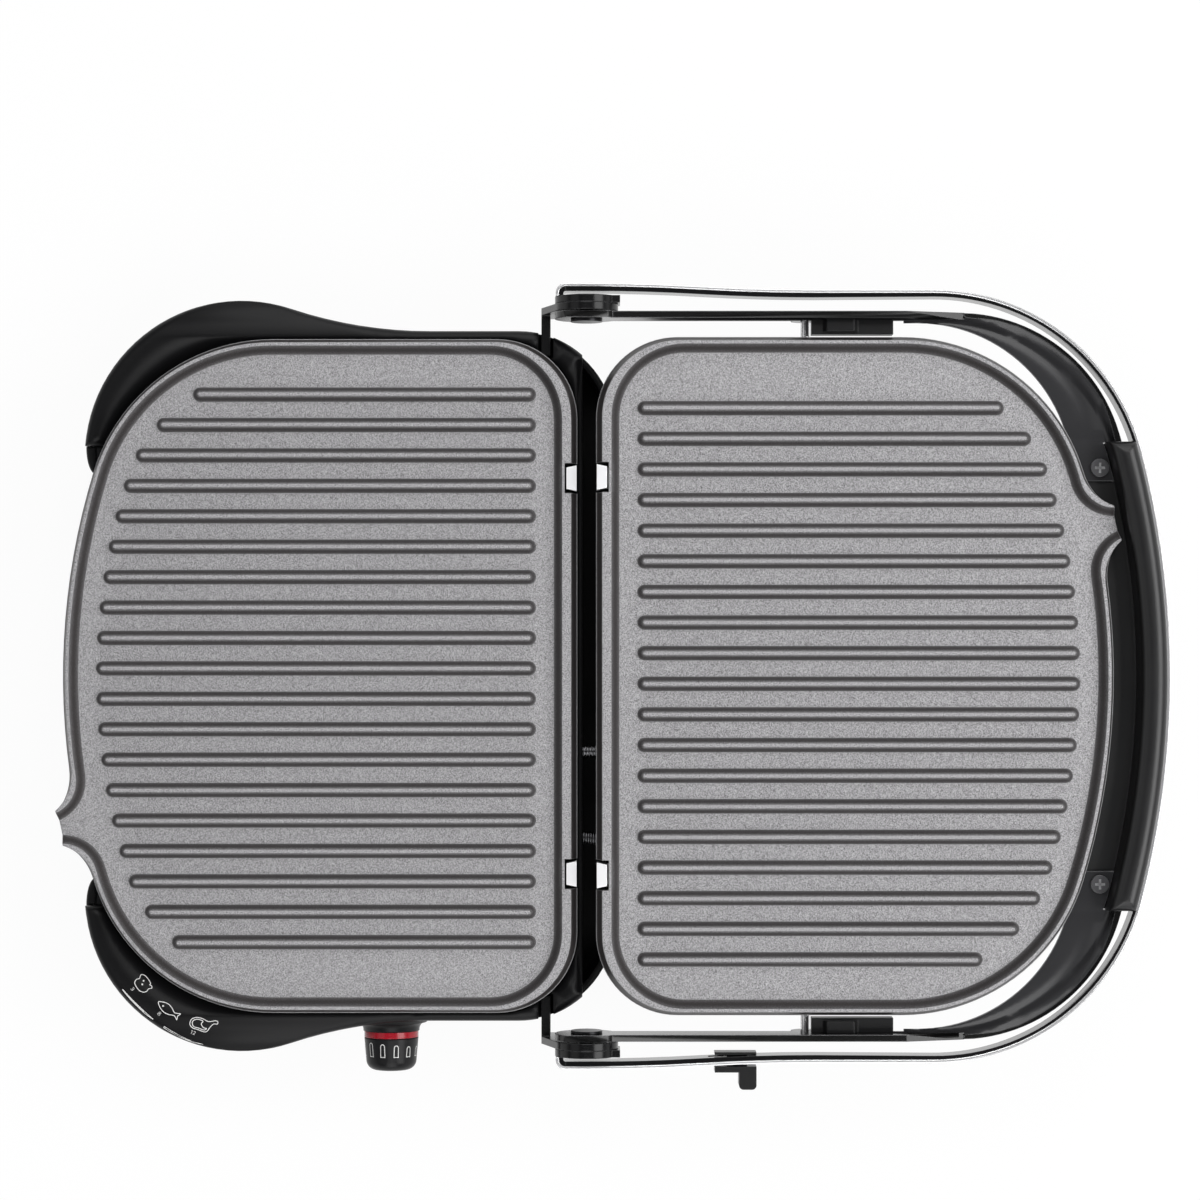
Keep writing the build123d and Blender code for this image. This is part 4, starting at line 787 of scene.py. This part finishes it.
def makeLinerTurn(side, name):
    # the liner goes on round the band's turned-in end, up to the hinge disc
    low, high = corners("handle_band")
    outer = slimming["turnRadius"] - slimming["bandThickness"]
    inner = outer - slimming["linerDepth"]
    edge = low.x if side < 0 else high.x
    middle = Vector((edge - side * slimming["turnRadius"], low.y + slimming["turnRadius"]))
    places = []
    for step in range(slimming["turnSteps"] + 1):
        turn = math.pi / 2 * step / slimming["turnSteps"]
        away = Vector((side * math.cos(turn), -math.sin(turn)))
        places.append((middle + away * outer, middle + away * inner))
    run = Vector((-side * slimming["turnRun"], 0))
    places.append((places[-1][0] + run, places[-1][1] + run))
    bottom, top = slimming["linerBottom"], slimming["linerTop"]
    build = bmesh.new()
    rings = []
    for out, back in places:
        outline = ((out, bottom), (out, top), (back, top), (back, bottom))
        rings.append([build.verts.new((flat.x, flat.y, z)) for flat, z in outline])
    joinRings(build, rings)
    piece = newPiece(name, build, "linerPlastic")
    sharpen(piece)
    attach(piece, "handle")


slimArm("arm_left", "armLeftForm")
slimArm("arm_right", "armRightForm")
slimLiner("handle_liner_left", "linerLeftForm")
slimLiner("handle_liner_right", "linerRightForm")
makeLinerTurn(-1, "linerTurnLeft")
makeLinerTurn(1, "linerTurnRight")
print("arms and liner made")


# spring-sleeved conduits between the base and the lid

conduits = {
    "wire": 0.00085,
    "wireSides": 6,
    "turnSteps": 18,
    "sleeveShare": 0.62,
    "sleeveMore": 0.0006,     # so that the sleeve fills the coil
    "sleeveSides": 20,
    "sleeveSteps": 24,
    "endWithin": 0.001,       # how near an end a corner of the solid bar counts as part of it
    "runs": (
        # node, piece, pitch of the spring
        ("conduit_a", "springConduitA", 0.00150),
        ("conduit_b", "springConduitB", 0.00112),
    ),
}


def addTube(build, path, radius, sides, normalAt):
    # a round tube through the points of a path, closed at both ends
    rings = []
    for index, point in enumerate(path):
        along = path[min(index + 1, len(path) - 1)] - path[max(index - 1, 0)]
        along.normalize()
        across = normalAt(index)
        across = (across - along * across.dot(along)).normalized()
        third = along.cross(across)
        ring = []
        for side in range(sides):
            turn = 2 * math.pi * side / sides
            offset = (across * math.cos(turn) + third * math.sin(turn)) * radius
            ring.append(build.verts.new(point + offset))
        rings.append(ring)
    for first, second in zip(rings, rings[1:]):
        for side in range(sides):
            after = (side + 1) % sides
            build.faces.new((first[side], first[after], second[after], second[side]))
    build.faces.new(reversed(rings[0]))
    build.faces.new(rings[-1])


def makeConduit(node, name, pitch):
    low, high = corners(node)
    within = conduits["endWithin"]
    points = [point.co for point in nodes[node].data.vertices]
    rear = [point for point in points if point.y < low.y + within]
    front = [point for point in points if point.y > high.y - within]
    start = sum(rear, Vector()) / len(rear)
    end = sum(front, Vector()) / len(front)
    radius = (high.z - low.z) / 2
    along = (end - start).normalized()
    up = Vector((0, 0, 1))
    side = along.cross(up)
    length = (end - start).length
    turns = length / pitch
    half = conduits["wire"] / 2

    def straight(steps):
        reach = length - 2 * half
        return [start + along * (half + reach * index / steps) for index in range(steps + 1)]

    coilSteps = int(turns * conduits["turnSteps"])

    def outward(index):
        turn = 2 * math.pi * turns * index / coilSteps
        return up * math.cos(turn) + side * math.sin(turn)

    coil = [point + outward(index) * (radius - half)
            for index, point in enumerate(straight(coilSteps))]
    sleeve = radius * conduits["sleeveShare"] + conduits["sleeveMore"]
    build = bmesh.new()
    addTube(build, coil, half, conduits["wireSides"], outward)
    addTube(build, straight(conduits["sleeveSteps"]), sleeve, conduits["sleeveSides"],
            lambda index: up)
    piece = newPiece(name, build, "springWire")
    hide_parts(node)
    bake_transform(piece)


for node, name, pitch in conduits["runs"]:
    makeConduit(node, name, pitch)
print("conduits made:", len(conduits["runs"]))


# printed marks: strokes laid on the surface

strokes = {
    "lift": 0.00005,
    "mitreShare": 0.5,        # a sharper bend's corners aren't drawn out any further
}


def strokeSides(points, width, closed):
    # the two edges of a stroke through flat points
    left, right = [], []
    count = len(points)
    for index, (x, y) in enumerate(points):
        before = points[(index - 1) % count] if closed or index else points[index]
        after = points[(index + 1) % count] if closed or index < count - 1 else points[index]
        first = Vector((x - before[0], y - before[1]))
        second = Vector((after[0] - x, after[1] - y))
        for part in (first, second):
            if part.length:
                part.normalize()
        along = (first + second).normalized()
        across = Vector((-along.y, along.x))
        straight = second if second.length else first
        reach = max(strokes["mitreShare"], abs(along.dot(straight)))
        half = (width[index] if isinstance(width, list) else width) / 2 / reach
        left.append((x + across.x * half, y + across.y * half))
        right.append((x - across.x * half, y - across.y * half))
    return left, right


def layStroke(build, points, width, closed, onSurface):
    left, right = strokeSides(points, width, closed)
    outer = [build.verts.new(onSurface(*place)) for place in left]
    inner = [build.verts.new(onSurface(*place)) for place in right]
    last = len(points) if closed else len(points) - 1
    for index in range(last):
        after = (index + 1) % len(points)
        build.faces.new((outer[index], inner[index], inner[after], outer[after]))


def smoothLoop(points, closed, steps):
    # a curve through the points
    if closed:
        padded = [points[-1]] + list(points) + [points[0], points[1]]
    else:
        padded = [points[0]] + list(points) + [points[-1]]
    found = []
    for index in range(len(padded) - 3):
        a, b, c, d = (Vector(point) for point in padded[index:index + 4])
        for step in range(steps):
            t = step / steps
            found.append(tuple(0.5 * (2 * b + (c - a) * t + (2 * a - 5 * b + 4 * c - d) * t * t
                                      + (3 * b - a - 3 * c + d) * t ** 3)))
    if not closed:
        found.append(tuple(points[-1]))
    return found


digits = {   # each one stroke, across and up, one high
    "1": ((0.12, 0.78), (0.34, 1.0), (0.34, 0.0)),
    "2": ((0.05, 0.8), (0.15, 0.96), (0.4, 0.98), (0.52, 0.8), (0.45, 0.55), (0.05, 0.0),
          (0.56, 0.0)),
    "3": ((0.06, 0.9), (0.3, 1.0), (0.5, 0.82), (0.42, 0.58), (0.22, 0.52), (0.46, 0.44),
          (0.54, 0.2), (0.32, 0.0), (0.04, 0.1)),
    "8": ((0.3, 0.54), (0.08, 0.7), (0.12, 0.94), (0.3, 1.0), (0.48, 0.94), (0.52, 0.7),
          (0.3, 0.54), (0.04, 0.34), (0.08, 0.06), (0.3, 0.0), (0.52, 0.06), (0.56, 0.34),
          (0.3, 0.54)),
}
digitWidth, digitGap = 0.6, 0.15

podMarks = {
    "height": 0.064,          # the pod's top, where the pixels are read
    "line": 0.00034,
    "dot": 0.0004,
    "dotSides": 8,
    "bread": ((142.0, 974.4), (144.9, 975.3), (148.2, 978.8), (150.6, 983.0), (149.7, 984.5),
              (151.6, 985.7), (151.7, 987.9), (148.5, 988.7), (147.0, 990.8), (143.6, 992.0),
              (139.5, 990.4), (136.5, 986.8), (134.7, 982.6), (136.4, 979.3), (139.5, 978.2),
              (140.5, 975.3)),
    "breadDots": ((143.6, 980.6), (142.3, 984.1)),
    "fish": ((158.3, 1001.9), (162.3, 1001.7), (168.0, 1003.5), (172.0, 1007.8),
             (174.7, 1012.6), (180.5, 1013.6), (177.6, 1016.0), (176.7, 1019.5),
             (174.3, 1015.5), (169.0, 1014.4), (164.2, 1012.2), (160.4, 1007.8)),
    "fishEye": ((163.1, 1005.7),),
    "meat": ((190.0, 1022.2), (192.0, 1018.6), (197.2, 1017.2), (203.0, 1018.6),
             (207.8, 1021.2), (211.6, 1021.2), (215.4, 1020.5), (217.8, 1021.7),
             (217.3, 1023.9), (213.5, 1023.9), (210.1, 1027.0), (206.8, 1031.3),
             (203.4, 1031.6), (197.7, 1029.4), (192.9, 1027.9), (190.2, 1025.1)),
    "meatCut": ((192.2, 1022.7), (193.7, 1020.1), (197.5, 1019.0), (200.8, 1019.9),
                (203.0, 1021.2), (201.3, 1023.9), (203.4, 1027.5), (206.3, 1028.4),
                (204.0, 1029.9), (198.2, 1027.8), (193.7, 1026.4)),
    "outlines": (("bread", 4), ("fish", 3), ("meat", 4), ("meatCut", 4)),   # with curve steps
    "numbers": (
        # digits, where the first one's foot starts, where the last one's foot ends
        ("3", (130.4, 988.4), (132.3, 990.9)),
        ("8", (157.2, 1013.6), (159.3, 1015.6)),
        ("12", (189.9, 1033.0), (194.7, 1034.9)),
    ),
    "numberHeight": 3.3,
    "numberLine": 0.00017,
    "numberSteps": 2,
    "stripes": (
        ((122.3, 989.2), (129.8, 997.8), (137.4, 1005.5), (146.0, 1013.6), (152.9, 1019.1)),
        ((163.4, 1026.8), (171.9, 1032.0), (181.4, 1037.3), (192.0, 1041.8), (202.8, 1044.6)),
    ),
    "stripeWidths": (
        (0.0005, 0.0008, 0.0009, 0.0009, 0.0004),
        (0.0010, 0.0009, 0.0008, 0.0006, 0.00015),
    ),
    "stripeSteps": 5,
    "probeFrom": 0.3,         # the height from which the pod's top is looked for
}


def makePodMarks():
    top = surfaceOf("base_housing")
    height = podMarks["height"]
    build = bmesh.new()

    def onPod(x, y):
        hit = top.ray_cast(Vector((x, y, podMarks["probeFrom"])), Vector((0, 0, -1)))[0]
        return hit + Vector((0, 0, strokes["lift"]))

    def flat(points):
        return [pixelPlace(column, row, height) for column, row in points]

    for name, steps in podMarks["outlines"]:
        points = smoothLoop(flat(podMarks[name]), True, steps)
        layStroke(build, points, podMarks["line"], True, onPod)
    for x, y in flat(podMarks["breadDots"] + podMarks["fishEye"]):
        ring = []
        for side in range(podMarks["dotSides"]):
            turn = 2 * math.pi * side / podMarks["dotSides"]
            ring.append((x + podMarks["dot"] * math.cos(turn) / 2,
                         y + podMarks["dot"] * math.sin(turn) / 2))
        layStroke(build, ring, podMarks["dot"], True, onPod)
    for text, start, end in podMarks["numbers"]:
        wide = digitWidth * len(text) + digitGap * (len(text) - 1)
        along = (Vector(end) - Vector(start)) / wide
        up = Vector((along.y, -along.x)).normalized() * podMarks["numberHeight"]
        for place, digit in enumerate(text):
            foot = Vector(start) + along * (digitWidth + digitGap) * place
            points = flat([foot + along * across + up * rise for across, rise in digits[digit]])
            curve = smoothLoop(points, False, podMarks["numberSteps"])
            layStroke(build, curve, podMarks["numberLine"], False, onPod)
    for points, widths in zip(podMarks["stripes"], podMarks["stripeWidths"]):
        middle = smoothLoop(flat(points), False, podMarks["stripeSteps"])
        spread = []
        for index in range(len(middle)):
            share = index / (len(middle) - 1) * (len(widths) - 1)
            low = min(int(share), len(widths) - 2)
            spread.append(widths[low] + (widths[low + 1] - widths[low]) * (share - low))
        layStroke(build, middle, spread, False, onPod)
    piece = newPiece("podMarks", build, "whitePrint")
    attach(piece, "base")


makePodMarks()
print("pod marks made")


knobMarks = {
    "pitch": 30.0,
    "firstTurn": -46.0,       # from straight up, towards the lid's side being positive
    "flatEnd": 0.0066,        # from the knob's outer face back to the marks' flat ends
    "lengths": (0.0062, 0.0058, 0.0053, 0.0046, 0.0042, 0.0038,
                0.0036, 0.0036, 0.0040, 0.0046, 0.0052, 0.0058),
    "width": 0.0021,
    "roundWidth": 0.9,        # the round end's share of the width
    "roundSteps": 7,
    "line": 0.00034,
    "probeFrom": 0.05,        # from the knob's middle
}


def makeKnobMarks():
    low, high = corners("thermostat_knob")
    middle = (low + high) / 2
    skin = surfaceOf("thermostat_knob")
    build = bmesh.new()
    flatEnd = high.x - knobMarks["flatEnd"]
    half = knobMarks["width"] / 2
    narrow = half * knobMarks["roundWidth"]
    radius = (high.z - low.z) / 2
    for index, length in enumerate(knobMarks["lengths"]):
        start = math.radians(knobMarks["firstTurn"] + knobMarks["pitch"] * index)
        roundEnd = flatEnd - length + half
        outline = [(flatEnd, -half), (flatEnd, half), (roundEnd, narrow)]
        for step in range(1, knobMarks["roundSteps"]):
            swing = math.pi * step / knobMarks["roundSteps"]
            outline.append((roundEnd - half * math.sin(swing), narrow * math.cos(swing)))
        outline.append((roundEnd, -narrow))

        def onKnob(x, across):
            angle = start + across / radius
            outward = Vector((0, math.sin(angle), math.cos(angle)))
            centre = Vector((x, middle.y, middle.z))
            hit = skin.ray_cast(centre + outward * knobMarks["probeFrom"], -outward)[0]
            return hit + outward * strokes["lift"]

        layStroke(build, outline, knobMarks["line"], True, onKnob)
    piece = newPiece("knobMarks", build, "whitePrint")
    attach(piece, "knob")


makeKnobMarks()
print("knob marks made")


# the knob boss runs out of the housing's wall in a hollow curve

bossFlare = {
    "solidRadius": 0.0155,
    "bossRadius": 0.0127,
    "radiusWithin": 0.0002,   # how near the solid boss's radius a corner counts as its own
    "wallSide": 0.145,        # and how far out it has to lie
    "skin": 0.00002,          # the flare stands this much clear of the boss
    "shelf": (0.0022, 0.0013),   # along and across, where the flare meets the wall
    "reach": 0.0034,
    "lap": 0.0004,
    "steps": 8,
    "sides": 72,
    "probeFrom": 0.3,
    "probeAside": 0.026,      # from the knob's axis, where the bare wall is looked for
}


def slimBoss(node, name):
    low, high = corners("thermostat_knob")
    axis = (low + high) / 2
    build = copyOf(node)
    for point in build.verts:
        away = Vector((0, point.co.y - axis.y, point.co.z - axis.z))
        onBoss = abs(away.length - bossFlare["solidRadius"]) < bossFlare["radiusWithin"]
        if onBoss and point.co.x > bossFlare["wallSide"]:
            point.co += away.normalized() * (bossFlare["bossRadius"] - away.length)
    placeCopy(build, node, name, "housingPlastic", "base")


def makeBossFlare():
    low, high = corners("thermostat_knob")
    middle = (low + high) / 2
    probe = Vector((bossFlare["probeFrom"], middle.y + bossFlare["probeAside"], middle.z))
    wall = surfaceOf("base_housing").ray_cast(probe, Vector((-1, 0, 0)))[0].x
    reach, lap = bossFlare["reach"], bossFlare["lap"]
    radius = bossFlare["bossRadius"]
    shelf, drop = bossFlare["shelf"]
    profile = [(wall - lap, radius + reach + drop)]
    for step in range(bossFlare["steps"] + 1):
        swing = math.pi / 2 * step / bossFlare["steps"]
        profile.append((wall + shelf + reach * (1 - math.cos(swing)),
                        radius + bossFlare["skin"] + reach * (1 - math.sin(swing))))
    profile.append((wall + shelf + reach + lap, radius - lap))
    build = bmesh.new()
    rings = []
    for side in range(bossFlare["sides"]):
        turn = 2 * math.pi * side / bossFlare["sides"]
        rings.append([
            build.verts.new((x, middle.y + away * math.sin(turn), middle.z + away * math.cos(turn)))
            for x, away in profile
        ])
    for first, second in zip(rings, rings[1:] + rings[:1]):
        for step in range(len(profile) - 1):
            build.faces.new((first[step], first[step + 1], second[step + 1], second[step]))
    bmesh.ops.recalc_face_normals(build, faces=build.faces)
    piece = newPiece("bossFlare", build, "housingPlastic")
    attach(piece, "base")


slimBoss("base_housing", "housingForm")
makeBossFlare()
print("knob boss made")


# the front panel's ends swell out to meet the pods at the seams

panelSwell = {
    "length": 0.0120,
    "seam": 0.00025,          # left open beside the pod
    "bury": 0.0004,           # how deep it sits in the panel
    "corner": 0.0020,
    "cornerShare": 0.9,       # of the depth that is left, where that is less than the corner
    "steps": 12,
    "cornerSteps": 5,
}


def makePanelSwell(side, name):
    low, high = corners("base_front_panel")
    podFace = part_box("base_housing")[0][1]
    back = low.y + 2 * panelSwell["bury"]
    stand = low.y - podFace + panelSwell["bury"]
    seam = (high.x if side > 0 else low.x) - side * panelSwell["seam"]
    swings = [math.pi / 2 * part / panelSwell["cornerSteps"]
              for part in range(panelSwell["cornerSteps"] + 1)]
    build = bmesh.new()
    rings = []
    for step in range(panelSwell["steps"] + 1):
        turn = math.pi / 2 * step / panelSwell["steps"]
        x = seam - side * panelSwell["length"] * math.sin(turn)
        face = low.y + panelSwell["bury"] - stand * math.cos(turn)
        corner = min(panelSwell["corner"], (back - face) * panelSwell["cornerShare"])
        outline = [(back, low.z)]
        for swing in swings:
            outline.append((face + corner * (1 - math.sin(swing)),
                            low.z + corner * (1 - math.cos(swing))))
        for swing in swings:
            outline.append((face + corner * (1 - math.cos(swing)),
                            high.z - corner * (1 - math.sin(swing))))
        outline.append((back, high.z))
        rings.append([build.verts.new((x, y, z)) for y, z in outline])
    joinRings(build, rings)
    piece = newPiece(name, build, "housingPlastic")
    sharpen(piece)
    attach(piece, "base")


makePanelSwell(-1, "panelSwellLeft")
makePanelSwell(1, "panelSwellRight")
print("panel ends made")
